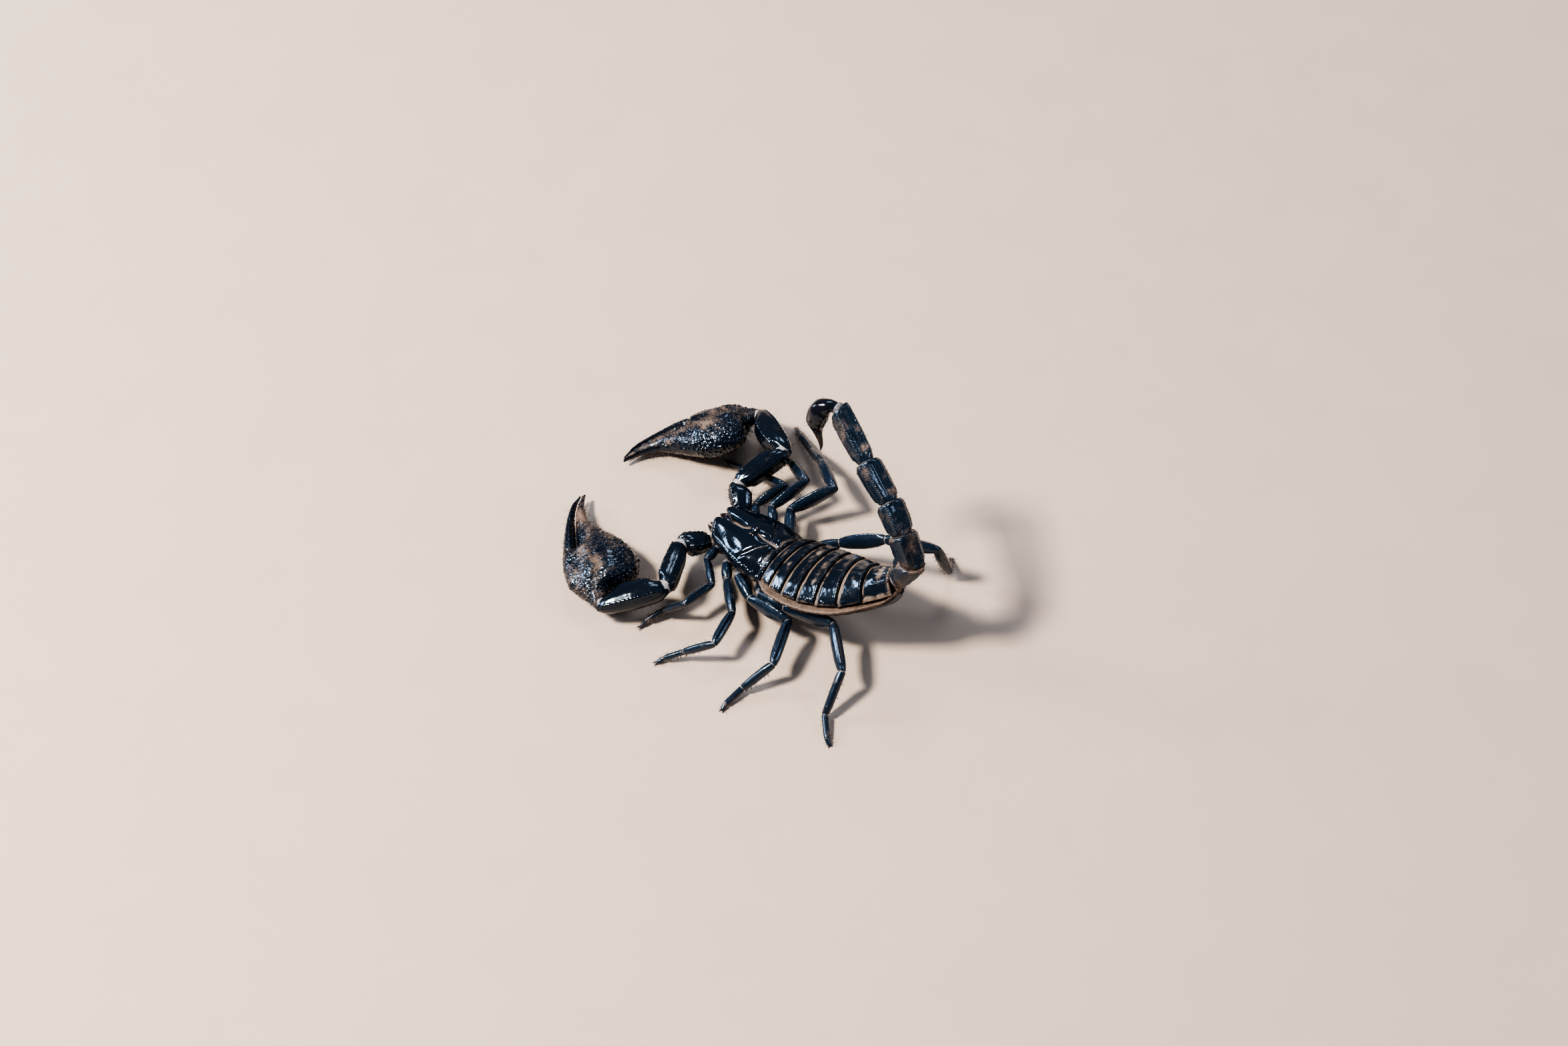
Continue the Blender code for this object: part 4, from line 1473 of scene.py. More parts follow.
class Bellows:
    """Folded skin between two segments, modelled once and copied to every joint."""

    def __init__(self) -> None:
        """Models the one bulge."""
        half = ((0.2, 0.93), (0.36, 1.0), (0.5, 0.93), (0.75, 0.9), (1.0, 0.72))
        rows = [(-z, r, r) for z, r in half[::-1]] + [(0.0, 1.0, 1.0)] + [(z, r, r) for z, r in half]
        self.master = Bench.loft("bellows", rows, 16, 1)

    def fold(self, chain: Chain, sizes: Rows, name: str, nodes: Sequence[str], material: Material,
             extra: Sequence[Matrix] = ()) -> None:
        """Puts a fold at each of a limb's joints and joins them into one piece.

        Args:
            chain: The limb's joints.
            sizes: Per joint the fold's half sizes across, upwards and along.
            name: Name of the piece.
            nodes: The solids it stands for.
            material: What it wears.
            extra: Where further folds go.
        """
        parts = []
        places = [Place.on(chain.joints[i], chain.planes[i]).matrix(*size) for i, size in enumerate(sizes)]
        for matrix in [*places, *extra]:
            parts.append(Bench.twin(self.master, "bellows_copy"))
            Bench.settle(parts[-1], matrix)
        piece = Bench.weld(parts, name)
        store(piece, "dust", 0.05)
        hand_over(piece, material, nodes)

    def put_away(self) -> None:
        """Removes the model the copies came from."""
        bpy.data.objects.remove(self.master)


HAIR_STRAY = 0.5               # how far hairs lean at random, against a normal of 1
HAIR_BOW = 0.12                # share of its length by which a hair's tip bends up
HAIR_SINK = 0.05               # mm that its root sits in the shell
FLOOR_ROOM = 0.2               # mm that every hair stays above the floor


@dataclass
class Bristles:
    """Stiff hairs on one limb. One hair is modelled once and repeated along the shells."""

    wardrobe: Wardrobe
    name: str
    seed: int
    cells: int

    def __post_init__(self) -> None:
        """Models the one hair and starts an empty list."""
        bow = ((0.0, 1.0, 0.0), (0.4, 0.8, 0.02), (0.75, 0.5, 0.07), (1.0, 0.1, 0.14))
        master = Bench.loft("bristle", [(z, r, r, 0.0, y) for z, r, y in bow], 4)
        self.shape = points_of(master)
        self.faces = [tuple(face.vertices) for face in master.data.polygons]
        bpy.data.objects.remove(master)
        self.rows: list[Array] = []
        self.marks: list[Array] = []

    def grow(self, tube: Tube, matrix: Matrix, cell: int, count: int, allowed: Array,
             length: tuple[float, float], thickness: float, lean: float) -> None:
        """Stands hairs on a segment.

        Args:
            tube: The shell they stand on, still straight.
            matrix: The shell's own matrix, from millimetres to its place.
            cell: The segment's number in the unwrap.
            count: How many hairs.
            allowed: Which points may carry one.
            length: Shortest and longest hair.
            thickness: Half width at the root.
            lean: How far they lean towards the tip.
        """
        self.seed += 10
        spots = np.flatnonzero(allowed)
        spots = spots[np.argsort(chance(tube.points[spots], self.seed))][:count]
        draws = np.stack([chance(tube.points, self.seed + k) for k in range(1, 5)], axis=1)
        turn, shift = np.array(matrix.to_3x3()), np.array(matrix.translation)
        for index in spots:
            out = tube.normals[index] + np.array([0.0, 0.0, lean]) + HAIR_STRAY * (draws[index, :3] - 0.5)
            out /= np.linalg.norm(out)
            side = np.cross(out, [0.3, 0.2, 1.0])
            side /= np.linalg.norm(side)
            rise = np.cross(out, side)
            size = length[0] + (length[1] - length[0]) * draws[index, 3]
            wide, deep, along = self.shape.T[:, :, None]
            local = side * wide * thickness + out * along * size + rise * (deep * thickness)
            local = local + rise * (along ** 2 * size * HAIR_BOW) + tube.points[index] - out * HAIR_SINK
            placed = local @ turn.T + shift
            if placed[:, 2].min() < FLOOR_ROOM * MM:
                continue
            self.rows.append(placed)
            root = np.array([(cell + min(max(tube.share[index], 0.02), 0.98)) / self.cells,
                             0.02 + 0.96 * ((tube.angle[index] + 180.0) % 360.0) / 360.0])
            self.marks.append(root + self.shape[:, [0, 2]] * 0.0015)

    def finish(self, nodes: Sequence[str], slot: Slot) -> None:
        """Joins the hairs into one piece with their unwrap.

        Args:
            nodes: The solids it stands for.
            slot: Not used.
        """
        total = len(self.shape)
        faces = [tuple(i + k * total for i in face) for k in range(len(self.rows)) for face in self.faces]
        mesh = bpy.data.meshes.new(self.name)
        mesh.from_pydata([tuple(p) for p in np.concatenate(self.rows)], [], faces)
        layer = mesh.uv_layers.new(name="OFBake")
        spots = np.concatenate(self.marks)
        corners = np.zeros(len(mesh.loops), dtype=int)
        mesh.loops.foreach_get("vertex_index", corners)
        layer.data.foreach_set("uv", spots[corners].ravel())
        hand_over(Bench.show(self.name, mesh), self.wardrobe.hair, nodes, Matrix.Identity(4))


@dataclass
class Metasoma:
    """The tail: five keeled rings, and the sting with its bulb and curved point."""

    back: Back
    wardrobe: Wardrobe
    bellows: Bellows
    root_depth: float = 1.7
    outline: Rows = ((0.0, 0.8, 0.8), (0.07, 0.86, 0.85), (0.2, 0.94, 0.91), (0.5, 1.0, 0.97),
                     (0.82, 1.0, 1.02), (0.95, 0.99, 1.0), (1.0, 0.93, 0.93))
    keels: Rows = ((52, 0.34), (128, 0.34), (20, 0.18), (160, 0.18), (-28, 0.26), (-152, 0.26), (-70, 0.24),
                   (-110, 0.24))
    rings: Rows = (
        (7.7, 113, 65, 3.7, 3.2), (8.0, 248, 54, 3.5, 3.2), (8.3, 244, 37, 3.3, 3.1),
        (11.2, 250, 28.5, 3.1, 2.9), (14.5, 246, 24, 2.8, 2.6))
    curl: Rows = (
        (1.9, 280, 4, 1.6), (2.0, 296, -22, 2.3), (1.9, 312, -52, 2.7), (2.0, 340, -72, 2.7),
        (2.0, 30, -76, 2.25), (1.6, 52, -70, 1.45), (1.6, 62, -66, 0.95), (1.8, 66, -62, 0.65),
        (1.4, 50, -58, 0.45), (1.2, 20, -55, 0.28))

    def build(self) -> None:
        """Builds the rings, the sting and the skin between them."""
        start = self.back.carry(np.zeros(1), np.array([self.back.length]), np.array([-self.root_depth]))[0]
        chain = Chain(Vector(start), [row[1:3] for row in self.rings], [row[0] for row in self.rings])
        self.chain = chain
        first = heading(self.back.yaw[1], self.back.pitch[1])
        chain.planes[0] = (first + chain.ways[0]).normalized()
        chain.planes[-1] = (chain.ways[-1] + heading(*self.curl[0][1:3])).normalized()
        self.bristles = Bristles(self.wardrobe, "tail_bristles", 77, 6)
        sizes = [(wide * 0.76, high * 0.76, 1.1) for *_, wide, high in self.rings] + [(1.75, 1.75, 1.2)]
        self.ring(0)
        self.bellows.fold(chain, sizes, "tail_joint_skin", ["metasoma_1"], self.wardrobe.leg_joint)
        for number in range(1, len(self.rings)):
            self.ring(number)
        self.sting()
        self.bristles.finish(["telson"], Slot.SHELL)

    def ring(self, number: int) -> None:
        """One tail ring: boxy, with a furrow on top and beaded keels.

        Args:
            number: 0 at the body to 4 at the sting.
        """
        length, _, _, wide, high = self.rings[number]
        last = number == len(self.rings) - 1
        outline = np.array(self.outline) * (1.0, wide, high) * (1.0, SLIM, SLIM)
        tube = segment("tail_ring_%d" % (number + 1), length, outline, 18, 14, 3)
        middle = plateau(tube.share, 0.02, 0.14, 0.88, 0.98)
        tube.square(0.16 * middle)
        tube.band(90.0, 20.0, -0.5 * middle)
        rise = []
        for k, (angle, height) in enumerate(self.keels):
            if last and k in (2, 3):
                continue
            tube.ridge(angle, 7.0, height, 0.1, 0.92)
            beads = Granules(0.52, 0.26, 0.15 if k < 2 or last else 0.08, 90 + k)
            rise.append(tube.row(beads, angle, 0.1, 0.93))
        if last:
            tube.ridge(-90.0, 6.0, 0.26, 0.06, 0.95)
            rise.append(tube.row(Granules(0.55, 0.28, 0.16, 99), -90.0, 0.08, 0.94))
        fine = 0.012 * waves(tube.points, 0.9, 110 + number)
        tube.push(0.05 * waves(tube.points, 2.6, 100 + number) + fine)
        tube.grit(Granules(0.8, 0.17, 0.05, 120 + number), middle > 0.9)
        beaded = deepest(*rise)
        dust = (0.3 if number < 2 else 0.22) + 0.14 * ease(tube.to_end() * length, 1.6, 0.2)
        note(tube.obj, dust + 0.16 * waves(tube.points, 4.0, 130 + number) - 0.2 * beaded)
        matrix = self.chain.seat(number, tube, 0.1)
        bare = (middle > 0.9) & (beaded < 0.2)
        self.bristles.grow(tube, matrix, number, 26 if last else 12, bare, (0.7, 1.7), 0.04, 0.3)
        hand_over(tube.obj, self.wardrobe.tail, ["metasoma_%d" % (number + 1)], matrix)

    def sting(self) -> None:
        """The bulb with rows of low bumps and a dark curved point."""
        points = [self.chain.joints[-1]]
        for step, azimuth, pitch, _ in self.curl:
            points.append(points[-1] + heading(azimuth, pitch) * step)
        spine = Spine(points, heading(15.0, 0.0))
        steps = np.concatenate([[0.0], np.cumsum([row[0] for row in self.curl])])
        steps *= spine.length / steps[-1]
        radii = [1.3] + [row[3] for row in self.curl[:-1]] + [0.1]
        marks = np.concatenate([[0.25, 0.6], np.linspace(1.2, spine.length, 26)])
        sizes = glide(steps, radii, marks) * 0.98
        obj = Bench.loft("sting", capped(list(zip(marks, sizes, sizes)), 0.12)[:-2], 20, 2)
        tube = Tube(obj, spine.length)
        bulb = plateau(tube.share, 0.04, 0.16, 0.48, 0.66)
        tube.push(0.12 * waves(tube.points, 2.2, 141) * bulb)
        for angle in (-90.0, -55.0, -125.0):
            tube.band(angle, 9.0, -0.14 * bulb)
        rise = tube.grit(Granules(0.95, 0.28, 0.1, 142), (bulb > 0.7) & tube.near(-90.0, 70.0))
        dust = 0.1 + 0.3 * ease(tube.share, 0.12, 0.0) - 0.1 * rise
        note(obj, dust, ease(tube.share, 0.55, 0.78) * 0.9 + 0.25 * bulb)
        tube.move(spine.carry(tube.points))
        self.bristles.grow(tube, body_matrix(), 5, 70, bulb > 0.5, (0.5, 1.5), 0.03, 0.0)
        hand_over(obj, self.wardrobe.head, ["telson"], body_matrix())


@dataclass
class Pedipalp:
    """One arm: three keeled segments, and the hand with its two closed fingers."""

    side: Side
    prosoma: Prosoma
    wardrobe: Wardrobe
    bellows: Bellows
    poses: Rows
    roll: float
    root: tuple[float, float, float] = (19.0, 5.7, 6.8)
    lengths: tuple[float, ...] = (8.2, 13.8, 16.4, 36.6)
    trochanter: Rows = ((0.0, 1.5, 1.6), (0.35, 2.7, 2.6), (0.72, 3.0, 2.8), (1.0, 1.9, 1.9))
    femur: Rows = ((0.0, 1.9, 1.9), (0.22, 2.5, 2.5), (0.55, 2.7, 2.7), (0.82, 2.7, 2.7), (1.0, 1.9, 1.9))
    patella: Rows = ((0.0, 1.9, 1.9), (0.19, 3.2, 3.0), (0.4, 3.5, 3.2), (0.66, 3.4, 3.1), (0.8, 2.9, 2.8),
                     (1.0, 1.7, 1.7))
    palm: Rows = ((0.0, 1.6, -1.6, 1.6), (2.5, 2.1, -3.8, 2.6), (4.1, 3.0, -5.8, 3.6), (5.4, 7.2, -6.6, 4.0),
                  (8.2, 9.9, -7.7, 4.8), (12.0, 10.4, -8.2, 4.8), (16.2, 8.4, -8.2, 4.4))
    fixed: Rows = ((16.9, 8.1, -4.0, 4.2), (20.6, 5.0, -4.1, 3.3), (24.0, 1.6, -4.1, 2.4),
                   (27.5, -0.9, -3.9, 1.7), (31.7, -1.4, -3.1, 1.2), (36.4, -0.6, -1.3, 0.35))
    movable: Rows = ((16.6, -4.9, -7.9, 2.3), (17.4, -4.7, -8.1, 2.7), (20.6, -4.6, -7.7, 2.4),
                     (26.1, -4.5, -6.6, 1.75), (31.7, -3.7, -4.8, 1.15), (36.0, -1.9, -2.3, 0.35))
    folds: Rows = ((1.7, 1.8, 1.2), (2.05, 2.05, 1.5), (2.1, 2.1, 1.7), (1.75, 1.75, 1.5))
    palm_bands: Rows = ((118.0, 9.0, 0.42), (66.0, 12.0, 0.25), (168.0, 9.0, 0.35), (-118.0, 9.0, 0.4),
                        (-60.0, 12.0, 0.25), (142.0, 12.0, -0.35))
    finger_bands: Rows = ((110.0, 22.0, 0.2), (62.0, 13.0, -0.26), (-70.0, 13.0, -0.2))

    def build(self) -> None:
        """Builds the arm's pieces."""
        sign = self.side.sign
        forward, leftward, height = self.root
        start = self.prosoma.floor_place(forward, sign * leftward, height)
        self.chain = Chain(start, self.poses, self.lengths)
        self.bristles = Bristles(self.wardrobe, "arm_bristles_" + self.side.value, 200 + int(sign), 5)
        self.short("trochanter", 0, self.trochanter)
        self.short("femur", 1, self.femur)
        self.short("patella", 2, self.patella)
        self.hand()
        self.finger()
        seat = self.palm_place()
        knuckle = replace(seat, origin=seat.point(6.3 * sign, 0.0, 16.5)).matrix(1.4, 2.2, 0.9)
        solids = [self.solid("trochanter"), self.solid("femur")]
        self.bellows.fold(self.chain, self.folds, "arm_joint_skin_" + self.side.value, solids,
                          self.wardrobe.joint, [knuckle])
        self.bristles.finish([self.solid("hand")], Slot.GRANULAR)

    def solid(self, part: str) -> str:
        """The solid of one part of this arm."""
        return "pedipalp_%s_%s" % (part, self.side.value)

    def palm_place(self) -> Place:
        """The hand's rolled frame."""
        return self.chain.place(3, -self.side.sign * self.roll)

    def short(self, part: str, index: int, outline: Rows) -> None:
        """One of the three arm segments, squared off, with beaded edges and a grainy inner face.

        Args:
            part: Its name.
            index: Its number from the body, from 0.
            outline: Share along, half width and half height of its named rings.
        """
        length = self.lengths[index]
        name = "arm_%s_%s" % (part, self.side.value)
        tube = segment(name, length, np.array(outline) * (1.0, SLIM, SLIM), 16, 13, 3)
        tube = replace(tube, mirrored=self.side is Side.LEFT)
        middle = plateau(tube.share, 0.04, 0.16, 0.86, 0.96)
        tube.square((0.3 if index == 1 else 0.16) * middle)
        rise = []
        for k, angle in enumerate((42.0, 138.0, -45.0, -135.0)):
            tube.ridge(angle, 8.0, 0.2, 0.1, 0.9)
            beads = Granules(0.8, 0.34, 0.17 if k in (0, 2) else 0.1, 150 + 10 * index + k)
            rise.append(tube.row(beads, angle, 0.12, 0.9))
        tube.push(0.06 * waves(tube.points, 3.6, 160 + index) + 0.01 * waves(tube.points, 1.1, 170 + index))
        inner, lower = (middle > 0.8) & tube.near(0.0, 60.0), (middle > 0.6) & tube.near(-90.0, 60.0)
        rise.append(tube.grit(Granules(1.1, 0.34, 0.12, 180 + index), inner))
        rise.append(tube.grit(Granules(0.8, 0.24, 0.08, 190 + index), lower))
        grainy = deepest(*rise)
        dust = 0.05 + 0.12 * ease(tube.to_end() * length, 1.5, 0.2) - 0.16 * grainy
        dust += 0.14 * waves(tube.points, 5.0, 195 + index)
        note(tube.obj, dust + 0.22 * ease(turn_gap(tube.angle, -90.0) ** 2, 3600.0, 900.0))
        matrix = self.chain.seat(index, tube, 0.22)
        bare = (middle > 0.5) & (grainy < 0.15)
        self.bristles.grow(tube, matrix, index, 46, bare, (0.7, 2.0), 0.045, 0.3)
        hand_over(tube.obj, self.wardrobe.shell, [self.solid(part)], matrix)

    def lofted(self, name: str, rows: Rows, sides: int, extra: int, droop: float) -> Tube:
        """A hand part from its inner and outer edges and half thickness along the hand.

        Args:
            name: Name of the piece.
            rows: Millimetres along, inner edge, outer edge and half thickness.
            sides: Points round the cage.
            extra: Rings of the cage per row.
            droop: How far the tip hangs.

        Returns:
            The part, along the hand's frame.
        """
        sign = self.side.sign
        marks = [row[0] for row in rows]
        spans = zip(marks, marks[1:])
        fine = sorted({round(float(z), 3) for a, b in spans for z in np.linspace(a, b, extra + 1)})
        inner, outer, thick = (glide(marks, [row[k] for row in rows], np.array(fine)) for k in (1, 2, 3))
        end = marks[-1]
        centre = -sign * (inner + outer) / 2.0
        hang = -droop * np.clip((np.array(fine) - end + 6.0) / 6.0, 0.0, None) ** 2
        stations = zip(fine, (inner - outer) / 2.0 * 0.98, thick * 0.98, centre, hang)
        obj = Bench.loft(name, capped(stations, 0.15), sides, 3)
        return Tube(obj, end, lambda z: np.interp(z, fine, centre), self.side is Side.LEFT)

    def hand(self) -> None:
        """The broad grainy palm with its fixed finger."""
        place = self.palm_place()
        palm = self.lofted("claw_hand_" + self.side.value, self.palm + self.fixed, 24, 3, 0.5)
        z = palm.points[:, 2]
        body, finger = plateau(z, 3.0, 7.0, 15.0, 18.5), ease(z, 17.0, 20.0)
        top = ease(turn_gap(palm.angle, 95.0) ** 2, 8100.0, 4900.0)
        palm.square(0.3 * body)
        for angle, wide, height in self.palm_bands:
            palm.band(angle, wide, height * body)
        palm.band(125.0, 16.0, -0.22 * finger * ease(z, 36.0, 33.0))
        fine = 0.05 * waves(palm.points, 1.3, 211)
        palm.push(0.16 * waves(palm.points, 3.6, 210) * ease(z, 30.0, 20.0) + fine)
        wrist = (z > 1.0) & (z < 6.5) & (top > 0.2)
        lobe = (z > 4.5) & (z < 18.0) & palm.near(10.0, 34.0)
        plain_top = (z > 6.0) & (z < 26.0) & (top > 0.3) & ~lobe & ~wrist
        rise = deepest(palm.grit(Granules(1.0, 0.46, 0.26, 220), lobe),
                       palm.grit(Granules(0.78, 0.32, 0.15, 221), plain_top),
                       palm.grit(Granules(0.8, 0.36, 0.2, 222), wrist & ~lobe),
                       palm.row(Granules(0.95, 0.5, 0.3, 223), 0.0, 0.13, 0.6),
                       palm.row(Granules(0.6, 0.3, 0.2, 224), 180.0, 0.5, 0.98))
        patches = waves(palm.points, 6.0, 230) * 0.6 + waves(palm.points, 2.4, 231) * 0.4
        dust = 0.1 + top * (0.25 + 0.26 * patches) + 0.1 * finger * top - 0.22 * rise
        dust -= 0.2 * ease(np.abs(turn_gap(palm.angle, 0.0)), 45.0, 15.0)
        note(palm.obj, dust, 0.25 * ease(z, 33.0, 36.0))
        lean = palm.lean(place, self.chain.planes[3], 0.4, 1.4)
        along = palm.points[:, 2]
        along = along + 0.3 * ease(along, 3.0, 0.0) + lean * ease(along, 4.0, 0.0)
        palm.move(np.column_stack([palm.points[:, :2], along]))
        below = palm.near(-60.0, 75.0) & (z > 3.0) & (z < 33.0)
        matrix = place.matrix()
        self.bristles.grow(palm, matrix, 3, 150, below, (0.8, 2.2), 0.045, 0.3)
        self.bristles.grow(palm, matrix, 3, 60, (z > 19.0) & (z < 33.0) & (rise < 0.1), (0.6, 1.6), 0.04, 0.4)
        Bench.settle(palm.obj, matrix)
        rest_on_floor(palm.obj)
        hand_over(palm.obj, self.wardrobe.claw, [self.solid("hand")])

    def finger(self) -> None:
        """The smooth movable finger beside the palm."""
        move = self.lofted("claw_finger_" + self.side.value, self.movable, 20, 4, 0.4)
        z = move.points[:, 2]
        shaft = plateau(z, 17.5, 20.0, 33.0, 35.5)
        for angle, wide, height in self.finger_bands:
            move.band(angle, wide, height * shaft)
        move.push(0.04 * waves(move.points, 1.8, 240))
        rise = deepest(move.row(Granules(0.6, 0.3, 0.2, 241), 0.0, 0.5, 0.98),
                       move.grit(Granules(0.9, 0.26, 0.08, 242), (z > 17.6) & (z < 24.0)))
        dust = 0.05 + 0.26 * bell(turn_gap(move.angle, 60.0), 0.0, 20.0) * ease(z, 36.0, 30.0)
        note(move.obj, dust + 0.3 * ease(z, 18.4, 16.8) - 0.2 * rise, 0.25 * ease(z, 33.0, 36.0))
        matrix = self.palm_place().matrix()
        self.bristles.grow(move, matrix, 4, 60, (z > 18.0) & (z < 33.0) & (rise < 0.1), (0.6, 1.7), 0.04, 0.4)
        hand_over(move.obj, self.wardrobe.claw, [self.solid("finger")], matrix)


class LegPart(Enum):
    """The six segments of a walking leg with their named widths."""

    TROCHANTER = ((0.0, 1.15, 1.25), (0.55, 1.45, 1.75), (1.0, 1.0, 1.2))
    FEMUR = ((0.0, 1.0, 1.2), (0.22, 1.25, 1.85), (0.55, 1.35, 2.15), (0.82, 1.25, 1.8), (1.0, 1.0, 1.2))
    PATELLA = ((0.0, 1.0, 1.2), (0.25, 1.3, 1.75), (0.65, 1.3, 1.8), (0.88, 1.15, 1.4), (1.0, 0.95, 1.0))
    TIBIA = ((0.0, 0.95, 1.0), (0.3, 1.0, 1.3), (0.8, 0.95, 1.15), (1.0, 0.8, 0.85))
    BASITARSUS = ((0.0, 0.8, 0.85), (0.5, 0.75, 0.8), (0.85, 0.72, 0.78), (1.0, 0.6, 0.65))
    TARSUS = ((0.0, 0.6, 0.65), (0.4, 0.6, 0.62), (0.8, 0.5, 0.56), (1.0, 0.34, 0.36))


class LegKit:
    """The leg's segments and claw, each modelled once.

    Per segment from the body: its length, its dust, its number of hairs, and the half sizes of the folded
    skin at its start.
    """

    NOMINAL = (7.0, 12.0, 12.0, 9.8, 5.8, 4.5)
    DUST = (0.04, 0.04, 0.04, 0.14, 0.2, 0.24)
    HAIRS = (10, 34, 30, 36, 40, 34)
    FOLDS = ((1.0, 1.1, 0.9), (0.93, 1.1, 0.95), (0.9, 1.04, 0.9), (0.8, 0.84, 0.7), (0.62, 0.66, 0.5),
             (0.45, 0.48, 0.36))
    CLAW = ((-0.1, 0.2, 0.26), (0.35, 0.19, 0.25, 0.0, 0.05), (0.8, 0.15, 0.19, 0.0, 0.0),
            (1.2, 0.1, 0.12, 0.0, -0.16), (1.5, 0.03, 0.04, 0.0, -0.44))

    def __init__(self) -> None:
        """Models the segments with their keels."""
        self.masters = []
        for number, (part, length) in enumerate(zip(LegPart, self.NOMINAL)):
            tube = segment("leg_" + part.name.lower(), length, part.value, 12, 11, 2)
            middle = plateau(tube.share, 0.05, 0.2, 0.82, 0.95)
            if number in (1, 2):
                for angle, height in ((90.0, 0.16), (-90.0, 0.18), (35.0, 0.08), (-145.0, 0.06)):
                    tube.ridge(angle, 9.0, height, 0.12, 0.9)
                tube.row(Granules(0.5, 0.24, 0.13, 300 + number), 90.0, 0.12, 0.88)
                tube.row(Granules(0.5, 0.24, 0.15, 310 + number), -90.0, 0.12, 0.88)
                tube.band(62.0, 14.0, -0.16 * middle)
            fine = 0.006 * waves(tube.points, 0.9, 330 + number)
            tube.push(0.03 * middle * waves(tube.points, 3.0, 320 + number) + fine)
            self.masters.append(tube)
        self.claw = Bench.loft("leg_claw", self.CLAW, 8, 2)

    def put_away(self) -> None:
        """Removes the models the copies came from."""
        for tube in self.masters:
            bpy.data.objects.remove(tube.obj)
        bpy.data.objects.remove(self.claw)


@dataclass
class WalkingLeg:
    """One leg: six segments, folded skin at the joints, spines and two claws."""

    side: Side
    pair: int
    prosoma: Prosoma
    wardrobe: Wardrobe
    bellows: Bellows
    kit: LegKit
    poses: Rows
    lengths: tuple[float, ...]
    scale: float
    root: tuple[float, float, float]

    def build(self) -> None:
        """Builds the leg's pieces."""
        forward, leftward, height = self.root
        start = self.prosoma.floor_place(forward, self.side.sign * leftward, height)
        ways = [heading(*pose) for pose in self.poses]
        ankle = start.z + sum(way.z * length for way, length in zip(ways, self.lengths))
        lengths = self.lengths + (ankle / -ways[5].z,)
        chain = Chain(start, self.poses, lengths)
        stem = "leg_%s_%d_" % (self.side.value, self.pair)
        bristles = Bristles(self.wardrobe, stem + "bristles", 400 + 10 * self.pair + int(self.side.sign), 6)
        parts = []
        for index, (master, length) in enumerate(zip(self.kit.masters, lengths)):
            obj = Bench.twin(master.obj, stem + str(index))
            real = length * (0.96 if index == 5 else 1.0)
            move_points(obj, points_of(obj) * np.array([self.scale, self.scale, real / master.length]))
            tube = Tube(obj, real)
            dust = self.kit.DUST[index] + 0.14 * ease(tube.to_end() * length, 1.2, 0.1)
            dust += 0.12 * waves(tube.points, 4.0, 340 + index + 7 * self.pair)
            note(tube.obj, dust, 0.3 * ease(tube.share, 0.6, 1.0) if index == 5 else 0.0)
            matrix = chain.seat(index, tube, 0.15 if index < 4 else 0.08)
            free = (tube.share > 0.1) & (tube.share < 0.95)
            bristles.grow(tube, matrix, index, self.kit.HAIRS[index], free, (0.5, 1.5), 0.035, 0.45)
            if index >= 3:
                under = tube.near(-90.0, 55.0) & (tube.share > 0.15)
                bristles.grow(tube, matrix, index, 16, under, (0.7, 1.1), 0.085, 0.5)
            Bench.settle(tube.obj, matrix)
            parts.append(tube.obj)
        parts.extend(self.claws(chain, lengths[5]))
        for name, members in (("femur", parts[:2]), ("patella", parts[2:3]), ("tibia", parts[3:])):
            piece = Bench.weld(members, stem + name + "_shell")
            rest_on_floor(piece)
            hand_over(piece, self.wardrobe.leg, [stem + name])
        sizes = [[value * self.scale for value in size] for size in self.kit.FOLDS]
        self.bellows.fold(chain, sizes, stem + "joint_skin", [stem + "femur"], self.wardrobe.leg_joint)
        bristles.finish([stem + "tibia"], Slot.LEG)

    def claws(self, chain: Chain, length: float) -> list[Piece]:
        """The two claws at the foot, spread and resting on the floor.

        Args:
            chain: The leg's joints.
            length: Length of the last segment.

        Returns:
            The claws in their places.
        """
        azimuth = self.poses[5][0]
        made = []
        for spread in (-24.0, 24.0):
            obj = Bench.twin(self.kit.claw, "claw_copy")
            note(obj, 0.05, 0.7)
            base = chain.joints[5] + chain.ways[5] * (length - 1.0) + UP * 0.1
            Bench.settle(obj, Place.on(base, heading(azimuth + spread, -8.0)).matrix())
            made.append(obj)
        return made


# ---------------------------------------------------------------- studio


